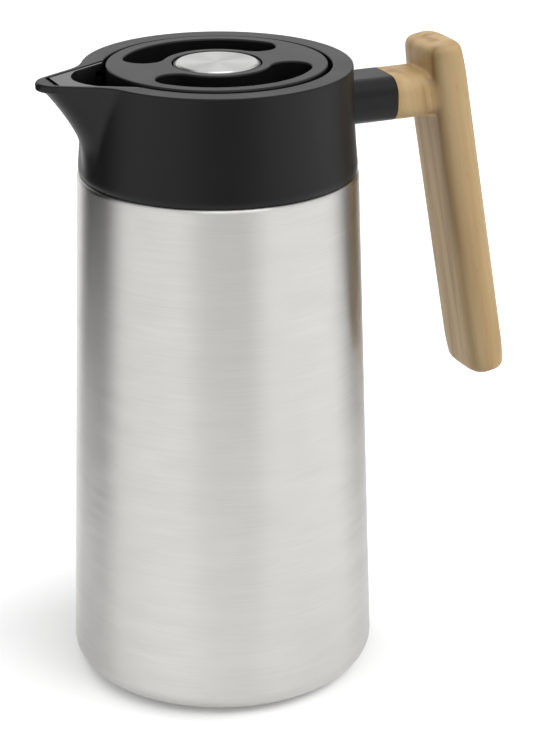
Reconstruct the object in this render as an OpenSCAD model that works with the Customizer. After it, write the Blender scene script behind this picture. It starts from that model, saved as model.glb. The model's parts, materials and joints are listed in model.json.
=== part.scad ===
// Vacuum carafe: brushed steel double-wall flask, moulded pouring collar with a
// blended spout, quarter-turn stopper with a push-button valve and a wooden T handle.
// Millimetres. The origin is the centre of the underside, +Z is up, +X points to
// the handle and -X to the spout.

/* [Steel flask] */
// Outer radius of the steel shell at the foot
base_r = 58; // [54:0.5:64]
// How far the steel stands out under the collar
shoulder_step = 0.9; // [0.4:0.1:1.6]
// Height of the steel shoulder that the collar stands on
steel_top = 196.9; // [170:1:225]
// Wall of the outer shell
shell_t = 0.8; // [0.6:0.1:1.2]
// Radius of the rounded foot edge
foot_round = 8.6; // [6:0.2:11]
// Wall of the inner liner
liner_t = 0.7; // [0.5:0.1:1.0]
// Vacuum gap between shell and liner
vacuum_gap = 4; // [3:0.5:6]
// How far the neck's outside lies inside the collar's mouth
neck_inset = 3.4; // [3.2:0.1:4]
// Height of the neck above the shoulder
neck_h = 6; // [5.6:0.1:6.5]
// Part of the foot pad that shows under the shell
foot_t = 1; // [0.8:0.1:2]
// Thickness of the base plate
base_plate_t = 1; // [0.8:0.1:1.6]
// Radius of the getter under the liner
getter_r = 9; // [6:1:14]
// Width of the shell's flat ring round the foot pad
foot_ring_w = 14; // [10:1:18]
// Height of the liner's soft shoulder
liner_shoulder_h = 18; // [14:1:24]
// Radius between the liner's floor and its side
liner_round = 14; // [8:1:20]

/* [Collar] */
// Height of the collar from the shoulder to the rim
collar_h = 39.6; // [38:0.2:44]
// How much wider the collar is near its bottom than at the rim
collar_flare = 1.45; // [0.8:0.05:2]
// Width of the flat rim round the mouth
rim_w = 7.65; // [7:0.05:9]
// Wall of the collar
collar_t = 2.4; // [1.8:0.1:2.6]
// Radius of the round mouth in the rim
mouth_r = 41.8; // [38:0.1:46]
// Thickness of the flat rim
rim_t = 2.6; // [2:0.1:3.2]
// Height over which the lower edge of the collar draws in
hem_h = 3.5; // [2:0.1:5]
// How far the lower edge of the collar draws in
hem_in = 0.9; // [0.4:0.1:1.4]
// Radius of the rim's outer edge
rim_edge = 0.6; // [0.3:0.1:1]

/* [Spout] */
// How far the spout tip stands out from the rim
spout_len = 19.55; // [16:0.05:24]
// Angle of each side of the spout to its centre line, in degrees
spout_half_angle = 29.5; // [28:0.5:32]
// Radius of the round nose of the lip, seen from above
nose_r = 7.6; // [6:0.1:9]
// Radius of the keel where it runs out
keel_end_r = 10; // [8:0.5:12]
// Height of the upright lip at the spout tip
lip_h = 2.7; // [2:0.1:4]
// Height over which the underside of the lip curves back
lip_under = 1.2; // [0.8:0.1:2]
// Angle about the axis at which that overhang has faded out, in degrees
lip_fade = 16; // [12:1:20]
// Depth below the rim at which the spout runs into the collar
spout_drop = 29.5; // [26:0.5:31]
// How much the keel of the spout sags below a straight line
keel_sag = 2.1; // [0:0.1:3]
// Size of the blend between spout and collar
spout_blend = 2.6; // [1.5:0.1:4]
// Wall between the channel and the spout tip
nose_wall = 3.2; // [2.5:0.1:4]
// Wall between the steep part of the channel and the spout's outside
spout_wall = 2.4; // [1.8:0.1:3.2]
// Radius of the channel's round end behind the tip
channel_nose_r = 6.2; // [5:0.1:7]
// Depth of the channel floor at the tip
tray_tip_depth = 1.6; // [1:0.1:2.5]
// Depth of the channel floor where it drops into the throat
tray_end_depth = 3.4; // [2.5:0.1:5]
// Distance of that drop from the mouth
throat_w = 11.2; // [9:0.1:12]

/* [Handle] */
// Length of the wooden grip
grip_len = 136; // [120:1:150]
// Width of the grip, across the carafe
grip_w = 27.6; // [24:0.2:32]
// Thickness of the grip
grip_d = 14.7; // [13:0.1:18]
// Corner radius of the grip's section
grip_corner = 4.6; // [3:0.1:6]
// Rounding of the grip's two ends
grip_end_round = 4.2; // [2.5:0.1:6]
// Lean of the grip from upright, in degrees
grip_tilt = 9.8; // [4:0.2:14]
// Height of the grip's top above the arm's centre line
grip_head = 18.9; // [16:0.1:22]
// Height of the arm's centre line below the rim
arm_drop = 18.5; // [16:0.5:22]
// Width of the arm, across the carafe
arm_w = 25; // [20:0.2:26]
// Height of the arm's section
arm_h = 17; // [14:0.2:20]
// Corner radius of the arm's section
arm_corner = 6.5; // [4:0.1:7]
// Length of the moulded boss, from the collar to the wood
boss_reach = 16.6; // [14:0.1:20]
// Length from that joint to the middle of the grip
arm_len = 23.2; // [20:0.1:28]
// Radius of the wooden fillet between arm and grip
arm_flare = 3.4; // [2:0.1:5]
// Radius of the handle bolt's shank
bolt_r = 2.5; // [2:0.1:3]
// Length of the tenon on the boss
tenon_len = 5; // [3:0.5:6]

/* [Stopper] */
// Gap between the stopper cap and the mouth
cap_gap = 1.6; // [1:0.1:2]
// How far the cap stands above the rim
cap_proud = 0.5; // [0:0.1:1.5]
// Thickness of the cap's top plate
cap_top_t = 2.5; // [2:0.1:3]
// Wall of the cap's skirt, cups and hub
cap_wall = 1.6; // [1.2:0.1:1.8]
// Depth of the two finger recesses
recess_depth = 12; // [9:0.2:12.5]
// Width of the finger recesses
recess_w = 15; // [12:0.2:15.2]
// Half of the angle that a recess spans between its end centres, in degrees
recess_half_angle = 52; // [40:1:54]
// Wall of the stopper body
body_t = 2.3; // [1.8:0.1:2.6]
// Depth of the stopper body below the seal shelf
body_drop = 20.2; // [18:0.2:23]
// Thickness of the stopper gasket
gasket_t = 1.5; // [1:0.1:2]
// Number of pouring ports round the body
port_count = 8; // [4:1:10]
// Width of a pouring port
port_w = 12; // [6:0.5:14]

/* [Thread] */
// Rise of the stopper for one whole turn
thread_lead = 15; // [14.5:0.1:16]
// Angle that one thread lug spans, in degrees
lug_span = 50; // [40:1:56]
// Number of lugs on the stopper, and in the neck
lug_count = 3; // [2:1:3]
// Radial height of a lug
lug_h = 1.5; // [1.3:0.05:1.6]
// Thickness of a lug at its root
lug_root_t = 2; // [1.6:0.1:2.1]
// Thickness of a lug at its crest
lug_crest_t = 1.2; // [0.8:0.1:1.4]
// Free play between two lugs, and between lug and wall
lug_play = 0.4; // [0.3:0.05:0.5]
// Clearance between the stopper's lugs and the steel mouth
mouth_clear = 0.5; // [0.3:0.1:0.8]

/* [Button and valve] */
// Radius of the push button
button_r = 15.9; // [14:0.1:16]
// Radius of the steel disc on the button
disc_r = 15.4; // [13:0.1:15.6]
// Thickness of the steel disc
disc_t = 1.4; // [0.8:0.1:2]
// How far the disc stands above the cap
disc_proud = 1; // [0.4:0.1:1.4]
// Clearance between button and hub
button_clear = 0.5; // [0.3:0.05:0.7]
// Travel of the push button
button_travel = 5; // [3:0.5:6]
// Radius of the valve rod
rod_r = 3; // [2:0.1:3.5]
// Radius of the valve's flow hole
seat_r = 13; // [10:0.5:15]
// Radius of the valve plate
valve_r = 17; // [16:0.5:19]
// Wire radius of the button spring
spring_wire = 0.7; // [0.5:0.1:0.9]
// Mean radius of the button spring
spring_r = 9; // [7.5:0.1:11]
// Turns of the button spring
spring_turns = 6; // [4:0.5:8]

/* [Hidden] */
$fn = 96;

// Small clearance between pieces that are pushed together.
fit_gap = 0.1;
// Overlap that lets solids of one piece fuse cleanly.
fuse = 0.4;
// Side of the plain blocks that cut away everything on one side of a plane.
slab = 100;

// Radii of the flask and its head, which all follow the mouth.
rim_r = mouth_r + rim_w;
collar_r = rim_r + collar_flare;
shoulder_r = collar_r + shoulder_step;
neck_r = mouth_r - neck_inset;

// Heights of the flask.
rim_z = steel_top + collar_h;
neck_top = steel_top + neck_h;
shoulder_round_h = 4;
shoulder_round_in = 1.7;
neck_fillet = 1.5;
flange_r = base_r - foot_ring_w;
liner_lift = 6;
liner_floor = foot_t + shell_t + base_plate_t + liner_lift;
liner_waist = steel_top - liner_shoulder_h;
liner_neck_r = neck_r - shell_t;
mouth_bore = liner_neck_r - liner_t;

// Band that carries the head on the steel neck.
band_t = 1.6;
bead_h = 0.8;
band_bottom = steel_top + neck_fillet + 0.2;
band_top = neck_top - 0.4;

// Levels inside the collar.
lip_gasket_t = 1.2;
thread_bottom = neck_top + lip_gasket_t;
thread_h = 6.9;
shelf_z = thread_bottom + thread_h;
insert_wall = 1.8;
insert_r = mouth_r + insert_wall;
insert_top = rim_z - rim_t;
throat_floor = shelf_z + 3;
skirt_bottom = steel_top + 1;
ear_r = insert_r + 4.2;
ear_t = 2;
screw_circle = insert_r + 2.3;
screw_angles = [45, 135, 225, 315];
post_r = 2.1;
post_h = 14;
web_t = 2.4;
head_screw_r = 1.2;
head_screw_len = 9;

// Spout skin: how far it runs inside the round wall away from the spout, the half
// angle of its sector and its steps on each side of the centre line.
spout_reach = rim_r + spout_len;
tray_end = mouth_r + throat_w;
skin_inset = 0.5;
spout_sector = 46;
spout_steps = 11;
throat_nose_r = 5;
throat_back = 9;
throat_inset = 6;

// Handle.
arm_z = rim_z - arm_drop;
joint_x = collar_r + boss_reach;
grip_z = arm_z + grip_head - grip_len / 2 * cos(grip_tilt);
grip_x = joint_x + arm_len + (arm_z - grip_z) * tan(grip_tilt);
bolt_seat_x = collar_r + 2.1;
washer_t = 1;
washer_r = 5;
bolt_head_r = 4.6;
bolt_head_h = 3;
bolt_clear = 0.25;
counterbore_r = washer_r + 0.25;
tenon_w = 12;
tenon_h = 9;
brass_r = 4;
brass_len = 10;
brass_x = joint_x + tenon_len + 1.5;
bolt_tip_x = brass_x + brass_len - 1;

// Stopper.
cap_r = mouth_r - cap_gap;
cap_top = rim_z + cap_proud;
cup_floor = cap_top - recess_depth;
cap_bottom = cup_floor - cap_wall;
cap_edge = 0.8;
hub_r = button_r + button_clear;
recess_r = (hub_r + cap_r) / 2;
hub_drop = 9;
hub_floor_top = cap_bottom - hub_drop;
hub_floor_t = 4;
body_flange_t = 2;
body_flange_r = mouth_r - 2.2;
flange_bottom = shelf_z + gasket_t;
flange_top = flange_bottom + body_flange_t;
body_bottom = shelf_z - body_drop;
body_r = mouth_bore - mouth_clear - lug_h;
body_bore = body_r - body_t;
thread_root_r = body_r + lug_h + lug_play;
screw_post_r = 3.2;
screw_post_x = body_bore - screw_post_r - 0.9;
tab_t = 2;
stopper_screw_r = 1.4;
stopper_screw_len = 7;
seat_gasket_t = 0.8;
seat_floor_t = 2;
seat_bottom = body_bottom - seat_gasket_t - seat_floor_t;
seat_spigot_h = 4;

// Thread lugs: the stopper's lie under those of the neck.
neck_lug_z = shelf_z - 2.4;
stopper_lug_z = neck_lug_z - lug_root_t - lug_play;

// Button and valve.
disc_top = cap_top + disc_proud;
button_top = disc_top - disc_t;
button_wall = 1.6;
button_skirt_z = hub_floor_top + button_travel + 3;
button_ceiling = button_top - 2;
boss_r = rod_r + 2.4;
boss_len = 8;
seal_t = 1.5;
plate_t = 3;
valve_top = seat_bottom - seal_t;
nut_t = 2.5;
nut_r = 5;
rod_bottom = valve_top - plate_t - nut_t - 1;
rod_top = button_ceiling;
rod_clear = 0.06;

steel = [0.80, 0.79, 0.77];
black = [0.13, 0.13, 0.14];
wood = [0.74, 0.61, 0.42];
silicone = [0.55, 0.56, 0.57];
brass = [0.78, 0.62, 0.32];

// Points of an elliptical arc about [cx, cy], from angle a0 to a1.
function arc_points(cx, cy, rx, ry, a0, a1, n) =
    [for (i = [0:n]) let (a = a0 + (a1 - a0) * i / n) [cx + rx * cos(a), cy + ry * sin(a)]];

// Outer radius of the steel shell on its straight flank.
function flank_r(z) =
    base_r + (shoulder_r - base_r) * (z - foot_t - foot_round)
        / (steel_top - shoulder_round_h - foot_t - foot_round);

// Outer radius of the collar on its straight flank.
function collar_flank(z) =
    collar_r + (rim_r - collar_r) * (z - steel_top - hem_h) / (collar_h - hem_h);

// Rounded rectangle, n points a corner, centred on the origin.
function round_rect(w, h, r, n) =
    [for (q = [0:3], i = [0:n])
        let (a = 90 * q + 90 * i / n,
             sx = (q == 0 || q == 3) ? 1 : -1,
             sy = (q < 2) ? 1 : -1)
        [sx * (w / 2 - r) + r * cos(a), sy * (h / 2 - r) + r * sin(a)]];

// Smooth maximum that equals the larger value outside a band of width k.
function blend_max(a, b, k) =
    let (h = max(k - abs(a - b), 0) / k) max(a, b) + h * h * k / 4;

// Closed skin over rings that all have the same even number of points. Each end is
// closed by a strip between its first and its second half.
module loft(rings) {
    n = len(rings[0]);
    m = len(rings);
    last = (m - 1) * n;
    sides = [for (j = [0:m - 2], i = [0:n - 1], t = [0:1])
        let (a = j * n + i, b = j * n + (i + 1) % n)
        t == 0 ? [a, a + n, b] : [b, a + n, b + n]];
    strip = [for (i = [0:n / 2 - 2], t = [0:1])
        t == 0 ? [i, i + 1, n - 1 - i] : [i + 1, n - 2 - i, n - 1 - i]];
    top = [for (f = strip) [last + f[2], last + f[1], last + f[0]]];
    polyhedron([for (ring = rings) each ring], concat(strip, sides, top));
}

// Solid of revolution ring between two radii and two heights.
module tube(r_in, r_out, z0, z1) {
    translate([0, 0, z0])
        difference() {
            cylinder(r = r_out, h = z1 - z0);
            translate([0, 0, -1])
                cylinder(r = r_in, h = z1 - z0 + 2);
        }
}

module disc(r, z0, z1) {
    translate([0, 0, z0])
        cylinder(r = r, h = z1 - z0);
}

// Cylinder along +X from x0 to x1 at the height of the arm.
module arm_rod(r, x0, x1) {
    translate([x0, 0, arm_z])
        rotate([0, 90, 0])
            cylinder(r = r, h = x1 - x0, $fn = 64);
}

// Steel flask --------------------------------------------------------------

function shell_outline(inset) =
    concat(
        [[flange_r, foot_t + inset]],
        arc_points(base_r - foot_round, foot_t + foot_round,
            foot_round - inset, foot_round - inset, -90, 0, 14),
        arc_points(shoulder_r - shoulder_round_in, steel_top - shoulder_round_h,
            shoulder_round_in - inset / 2, shoulder_round_h - inset, 0, 90, 8),
        arc_points(neck_r + neck_fillet, steel_top + neck_fillet,
            neck_fillet + inset, neck_fillet + inset, 270, 180, 6),
        [[neck_r - inset, neck_top]]
    );

function reversed(list) = [for (i = [len(list) - 1:-1:0]) list[i]];

module outer_shell() {
    color(steel)
        rotate_extrude()
            polygon(concat(shell_outline(0), reversed(shell_outline(shell_t))));
}

// Outer radius of the liner: a straight flank, then a soft shoulder to the neck.
function liner_r(z) =
    let (flank = flank_r(min(z, liner_waist)) - shell_t - vacuum_gap,
         t = max(0, min(1, (z - liner_waist) / (steel_top - 3 - liner_waist))))
    flank + (liner_neck_r - flank) * (1 - cos(180 * t)) / 2;

function liner_outline(inset) =
    let (z0 = liner_floor, side_r = liner_r(z0 + liner_round))
    concat(
        [[0, z0 + inset]],
        arc_points(side_r - liner_round, z0 + liner_round,
            liner_round - inset, liner_round - inset, -90, 0, 10),
        [for (i = [0:12]) let (z = liner_waist + (steel_top - 3 - liner_waist) * i / 12)
            [liner_r(z) - inset, z]],
        [[liner_neck_r - inset, neck_top]]
    );

module inner_liner() {
    color(steel)
        rotate_extrude()
            polygon(concat(liner_outline(0), reversed(liner_outline(liner_t))));
}

module base_plate() {
    z0 = foot_t + shell_t;
    r = base_r - foot_round - 0.4;
    seam_w = 5;
    step_w = 3;
    color(steel)
        rotate_extrude()
            polygon([[0, z0], [r, z0], [r, z0 + base_plate_t], [r - seam_w, z0 + base_plate_t],
                [r - seam_w - step_w, z0 + base_plate_t + 0.8], [0, z0 + base_plate_t + 0.8]]);
}

module getter() {
    color(brass)
        disc(getter_r, liner_floor - 2.4, liner_floor);
}

module foot_pad() {
    pad_r = base_r - foot_round - 1;
    edge = 0.3;
    color(black)
        union() {
            rotate_extrude()
                polygon([[0, 0], [pad_r - edge, 0], [pad_r, edge], [pad_r, foot_t], [0, foot_t]]);
            disc(flange_r - fit_gap, foot_t - edge, foot_t + shell_t);
        }
}

module neck_ring() {
    bead_z = (band_bottom + band_top) / 2;
    r = neck_r + band_t;
    color(steel)
        rotate_extrude()
            polygon([[neck_r, band_bottom], [r, band_bottom], [r, bead_z - 1.1],
                [r + bead_h, bead_z - 0.4], [r + bead_h, bead_z + 0.4], [r, bead_z + 1.1],
                [r, band_top], [neck_r, band_top]]);
}

// Collar with its spout and handle boss ------------------------------------

// Distance of the keel of the spout from the axis at a depth below the rim.
function keel_r(depth) =
    let (t = depth / spout_drop, end_r = collar_flank(rim_z - spout_drop))
    spout_reach + (end_r - spout_reach) * t - keel_sag * 4 * t * (1 - t);

// How far the upright lip stands out over the keel at a depth and an angle.
function lip_out(depth, angle) =
    let (t = max(0, min(1, (depth - lip_h) / lip_under)),
         fade = max(0, 1 - pow(angle / lip_fade, 2)))
    (spout_reach - keel_r(depth)) * sqrt(1 - t * t) * fade;

// Distance from the axis to a wedge with a round nose, at an angle to its centre line.
function wedge_r(angle, tip, nose) =
    let (centre = tip - nose,
         apex = centre + nose / sin(spout_half_angle),
         touch = atan2(nose * cos(spout_half_angle), centre + nose * sin(spout_half_angle)))
    angle < touch
        ? centre * cos(angle) + sqrt(nose * nose - pow(centre * sin(angle), 2))
        : apex * sin(spout_half_angle) / sin(spout_half_angle + angle);

// Outer radius of the spout's skin at an angle from its centre line. Away from the
// spout the skin runs inside the round wall, so that the two meet at a clear angle.
function spout_r(angle, z) =
    let (depth = rim_z - z,
         t = min(1, depth / spout_drop),
         nose = nose_r + (keel_end_r - nose_r) * t,
         side = wedge_r(angle, keel_r(depth), nose) + lip_out(depth, angle))
    blend_max(collar_flank(z) - skin_inset, side, spout_blend);

spout_levels = concat(
    [for (i = [0:8]) rim_z - lip_h - lip_under - (spout_drop + 1 - lip_h) * (1 - i / 8)],
    [for (t = [0.5, 1]) rim_z - lip_h - lip_under * sqrt(1 - t * t)],
    [rim_z + 1]);

function spout_ring(z) =
    let (inner = rim_r - collar_t + 0.6)
    concat(
        [for (i = [spout_steps:-1:-spout_steps])
            let (u = i / spout_steps,
                 a = spout_sector * sign(u) * pow(abs(u), 1.4),
                 r = spout_r(abs(a), min(z, rim_z)))
            [-r * cos(a), r * sin(a), z]],
        [for (i = [-spout_steps:spout_steps])
            let (a = spout_sector * i / spout_steps)
            [-inner * cos(a), inner * sin(a), z]]
    );

module spout_skin() {
    difference() {
        loft([for (z = spout_levels) spout_ring(z)]);
        translate([-slab, -slab / 2, rim_z])
            cube([slab, slab, slab]);
    }
}

function collar_outline() =
    concat(
        [[0, steel_top]],
        arc_points(collar_r - hem_in, steel_top + hem_h, hem_in, hem_h, -90, 0, 6),
        arc_points(rim_r - rim_edge, rim_z - rim_edge, rim_edge, rim_edge, 0, 90, 4),
        [[0, rim_z]]
    );

// Everything inside the collar's wall, up to the underside of the rim.
module collar_hollow() {
    rotate_extrude()
        polygon([[0, steel_top - 1], [collar_r - hem_in - collar_t + 0.5, steel_top - 1],
            [collar_r - collar_t, steel_top + hem_h], [rim_r - collar_t, insert_top],
            [0, insert_top]]);
}

// Round-nosed wedge that points along -X: its apex, half angle and nose radius.
module wedge_plan(apex, half_angle, nose, back) {
    centre = apex - nose / sin(half_angle);
    touch_x = centre + nose * sin(half_angle);
    touch_y = nose * cos(half_angle);
    back_y = (apex - back) * tan(half_angle);
    union() {
        translate([-centre, 0])
            circle(r = nose);
        polygon([[-touch_x, touch_y], [-touch_x, -touch_y], [-back, -back_y], [-back, back_y]]);
    }
}

// Where the two sides of a wedge with a round nose would meet, from its tip and nose.
function wedge_apex(tip, nose) = tip + nose * (1 / sin(spout_half_angle) - 1);

channel_apex = wedge_apex(spout_reach - nose_wall, channel_nose_r);

// Steep part of the channel: it leans from the sides of the tray to a wall's thickness
// inside the spout at the floor of the throat.
module throat_cut() {
    deep = rim_z - throat_floor;
    deep_nose = nose_r + (keel_end_r - nose_r) * deep / spout_drop;
    deep_apex = wedge_apex(keel_r(deep), deep_nose) - spout_wall / sin(spout_half_angle);
    lean = atan2(channel_apex - deep_apex, deep - tray_end_depth);
    half_angle = atan(tan(spout_half_angle) / cos(lean));
    intersection() {
        translate([-deep_apex, 0, throat_floor])
            rotate([0, -lean, 0])
                translate([0, 0, -slab / 2])
                    linear_extrude(slab)
                        wedge_plan(0, half_angle, throat_nose_r, -slab / 2);
        translate([-tray_end, -slab / 2, throat_floor])
            cube([throat_w + throat_inset, slab, slab]);
    }
}

// Tray behind the lip, with a floor that falls gently towards the throat.
module tray_cut() {
    tip = spout_reach - nose_wall;
    slope = atan2(tray_end_depth - tray_tip_depth, tip - tray_end);
    intersection() {
        translate([0, 0, rim_z - 2 * tray_end_depth])
            linear_extrude(4 * tray_end_depth)
                wedge_plan(channel_apex, spout_half_angle, channel_nose_r, mouth_r - throat_back);
        translate([-tip, 0, rim_z - tray_tip_depth])
            rotate([0, slope, 0])
                translate([-slab / 10, -slab / 2, 0])
                    cube([slab, slab, slab]);
    }
}

// Space through which the drink runs from the throat over the lip.
module channel() {
    throat_cut();
    tray_cut();
}

// Block that closes the sides of the channel between throat and collar wall.
module channel_block() {
    sector = spout_half_angle + 5;
    reach = 60;
    translate([0, 0, shelf_z])
        linear_extrude(insert_top - shelf_z + fuse)
            intersection() {
                difference() {
                    circle(r = rim_r - collar_t + fuse);
                    circle(r = insert_r + fit_gap);
                }
                polygon([[0, 0], [-reach, reach * tan(sector)], [-reach, -reach * tan(sector)]]);
            }
}

module arm_section(w, h, r) {
    union() {
        square([w - 2 * r, h], center = true);
        square([w, h - 2 * r], center = true);
        for (sx = [-1, 1], sy = [-1, 1])
            translate([sx * (w / 2 - r), sy * (h / 2 - r)])
                circle(r = r, $fn = 48);
    }
}

// Upright of the arm's section turned so that it runs along +X.
module arm_bar(x0, x1, w, h, r) {
    translate([x0, 0, arm_z])
        rotate([90, 0, 90])
            linear_extrude(x1 - x0)
                arm_section(w, h, r);
}

// Posts for the screws of the insert, each joined to the collar's wall by a web.
module screw_posts() {
    for (a = screw_angles)
        rotate([0, 0, a])
            translate([screw_circle, 0, steel_top + 2 * ear_t])
                difference() {
                    union() {
                        cylinder(r = post_r, h = post_h, $fn = 32);
                        translate([0.5, -web_t / 2, 0])
                            cube([collar_r - collar_t + fuse - screw_circle, web_t, post_h]);
                    }
                    translate([0, 0, -1])
                        cylinder(r = head_screw_r, h = post_h - 2, $fn = 32);
                }
}

module collar() {
    color(black)
        difference() {
            union() {
                difference() {
                    union() {
                        rotate_extrude()
                            polygon(collar_outline());
                        spout_skin();
                        arm_bar(rim_r - collar_t - 3, joint_x, arm_w, arm_h, arm_corner);
                    }
                    collar_hollow();
                }
                channel_block();
                screw_posts();
                arm_bar(joint_x - 1, joint_x + tenon_len, tenon_w, tenon_h, 2);
            }
            disc(mouth_r, insert_top - fuse, rim_z + 1);
            channel();
            arm_rod(bolt_r + bolt_clear, bolt_seat_x - 1, joint_x + tenon_len + 1);
            arm_rod(counterbore_r, insert_r, bolt_seat_x);
        }
}

// Helical lug with its middle at [angle 0, height z], between two radii.
module lug(root_r, crest_r, z) {
    steps = 12;
    section = [[root_r, -lug_root_t / 2], [crest_r, -lug_crest_t / 2],
        [crest_r, lug_crest_t / 2], [root_r, lug_root_t / 2]];
    loft([for (i = [0:steps])
        let (a = lug_span * (i / steps - 0.5), rise = z + thread_lead * a / 360)
        [for (p = root_r > crest_r ? section : reversed(section))
            [p[0] * cos(a), p[0] * sin(a), rise + p[1]]]]);
}

module pour_insert() {
    bead_z = (band_bottom + band_top) / 2;
    band_r = neck_r + band_t + fit_gap;
    bead_r = band_r + bead_h;
    color(black)
        difference() {
            union() {
                rotate_extrude()
                    polygon([[band_r, skirt_bottom], [insert_r, skirt_bottom],
                        [insert_r, insert_top], [mouth_r, insert_top], [mouth_r, shelf_z],
                        [thread_root_r, shelf_z], [thread_root_r, thread_bottom],
                        [band_r, thread_bottom], [band_r, bead_z + 1.2],
                        [bead_r, bead_z + 0.5], [bead_r, bead_z - 0.5],
                        [band_r, bead_z - 1.2]]);
                tube(insert_r - fuse, ear_r, steel_top + ear_t, steel_top + 2 * ear_t);
                for (k = [0:lug_count - 1])
                    rotate([0, 0, 360 * k / lug_count])
                        lug(thread_root_r + fuse, thread_root_r - lug_h, neck_lug_z);
            }
            channel();
            for (a = screw_angles)
                rotate([0, 0, a])
                    translate([screw_circle, 0, steel_top])
                        cylinder(r = head_screw_r + 0.3, h = 3 * ear_t, $fn = 32);
        }
}

module mouth_gasket() {
    color(silicone)
        tube(mouth_bore, neck_r + band_t - 0.2, neck_top, thread_bottom);
}

module collar_gasket() {
    color(silicone)
        tube(neck_r + neck_fillet + 0.6, insert_r - 0.3, steel_top, skirt_bottom);
}

// Pan-head screw along +Z: the head's top face lies at height z.
module screw(r, head_r, head_h, length, z) {
    translate([0, 0, z - head_h])
        cylinder(r = head_r, h = head_h, $fn = 32);
    translate([0, 0, z - fuse])
        cylinder(r = r, h = length + fuse, $fn = 32);
}

module collar_screws() {
    color(steel)
        for (a = screw_angles)
            rotate([0, 0, a])
                translate([screw_circle, 0, 0])
                    screw(head_screw_r, 2.1, 1.6, head_screw_len, steel_top + ear_t);
}

// Wooden T handle -----------------------------------------------------------

// Section ring of the grip at a distance along its length.
function grip_ring(s) =
    let (near_end = min(s, grip_len - s),
         e = max(0, grip_end_round - near_end),
         inset = grip_end_round - sqrt(max(0, grip_end_round * grip_end_round - e * e)),
         r = max(0.8, grip_corner - inset * 0.6),
         flat = round_rect(grip_d - 2 * inset, grip_w - 2 * inset, r, 6))
    [for (p = flat)
        let (u = p[0], h = s - grip_len / 2)
        [grip_x + u * cos(grip_tilt) - h * sin(grip_tilt), p[1],
         grip_z + u * sin(grip_tilt) + h * cos(grip_tilt)]];

function end_steps() =
    [for (i = [0:5]) grip_end_round * (1 - cos(84 * i / 5 + 6))];

module grip_bar() {
    low = end_steps();
    loft([for (s = concat(low, [for (i = [5:-1:0]) grip_len - low[i]])) grip_ring(s)]);
}

// The grip's inner face, as a distance from the axis at a height.
function grip_face(z) =
    grip_x - (z - grip_z) * tan(grip_tilt) - grip_d / 2 / cos(grip_tilt);

// Section ring of the wooden arm: 0 is the joint, 1 the face of the grip.
function arm_ring(t) =
    [for (p0 = round_rect(arm_w, arm_h, arm_corner, 6))
        let (x_face = grip_face(arm_z + p0[1]),
             x = joint_x + (x_face - joint_x) * t,
             gap = max(0, x_face - x),
             e = max(0, arm_flare - gap),
             f = arm_flare - sqrt(max(0, arm_flare * arm_flare - e * e)),
             grow_w = 1 + 2 * f * 0.3 / arm_w,
             grow_h = 1 + 2 * f / arm_h)
        [x, p0[0] * grow_w, arm_z + p0[1] * grow_h]];

module wooden_arm() {
    span = grip_face(arm_z) - joint_x;
    flare_start = 1 - arm_flare / span;
    loft([for (t = concat([0], [for (i = [0:5]) 1 - (1 - flare_start) * cos(90 * i / 5)],
            [1 + grip_d / 2 / span])) arm_ring(t)]);
}

module handle_grip() {
    color(wood)
        difference() {
            union() {
                grip_bar();
                wooden_arm();
            }
            arm_bar(joint_x - 1, joint_x + tenon_len + 0.2, tenon_w + 0.3, tenon_h + 0.3, 2.15);
            arm_rod(brass_r, joint_x, brass_x + brass_len);
        }
}

module thread_insert() {
    color(brass)
        difference() {
            arm_rod(brass_r, brass_x, brass_x + brass_len);
            arm_rod(bolt_r, brass_x - 1, brass_x + brass_len + 1);
        }
}

module handle_bolt() {
    head_x = bolt_seat_x - washer_t;
    color(steel)
        difference() {
            union() {
                arm_rod(bolt_head_r, head_x - bolt_head_h, head_x);
                arm_rod(bolt_r, head_x - fuse, bolt_tip_x);
            }
            translate([head_x - bolt_head_h - 1, 0, arm_z])
                rotate([0, 90, 0])
                    cylinder(r = 1.8, h = 2.8, $fn = 6);
        }
}

module handle_washer() {
    color(steel)
        difference() {
            arm_rod(washer_r, bolt_seat_x - washer_t, bolt_seat_x);
            arm_rod(bolt_r + bolt_clear, bolt_seat_x - 3, bolt_seat_x + 3);
        }
}

// Stopper -------------------------------------------------------------------

// Kidney outline about the axis, on the +Y side. Its round ends are a hair wider than
// the arcs, so that the two cross instead of only touching.
module kidney(half_width) {
    reach = slab;
    union() {
        intersection() {
            difference() {
                circle(r = recess_r + half_width);
                circle(r = recess_r - half_width);
            }
            polygon([[0, 0], [reach * sin(recess_half_angle), reach * cos(recess_half_angle)],
                [0, 2 * reach],
                [-reach * sin(recess_half_angle), reach * cos(recess_half_angle)]]);
        }
        for (s = [-1, 1])
            rotate([0, 0, s * recess_half_angle])
                translate([0, recess_r])
                    circle(r = half_width + 0.05, $fn = 48);
    }
}

module kidneys(half_width, z0, z1) {
    for (side = [0, 180])
        rotate([0, 0, side])
            translate([0, 0, z0])
                linear_extrude(z1 - z0)
                    kidney(half_width);
}

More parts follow.
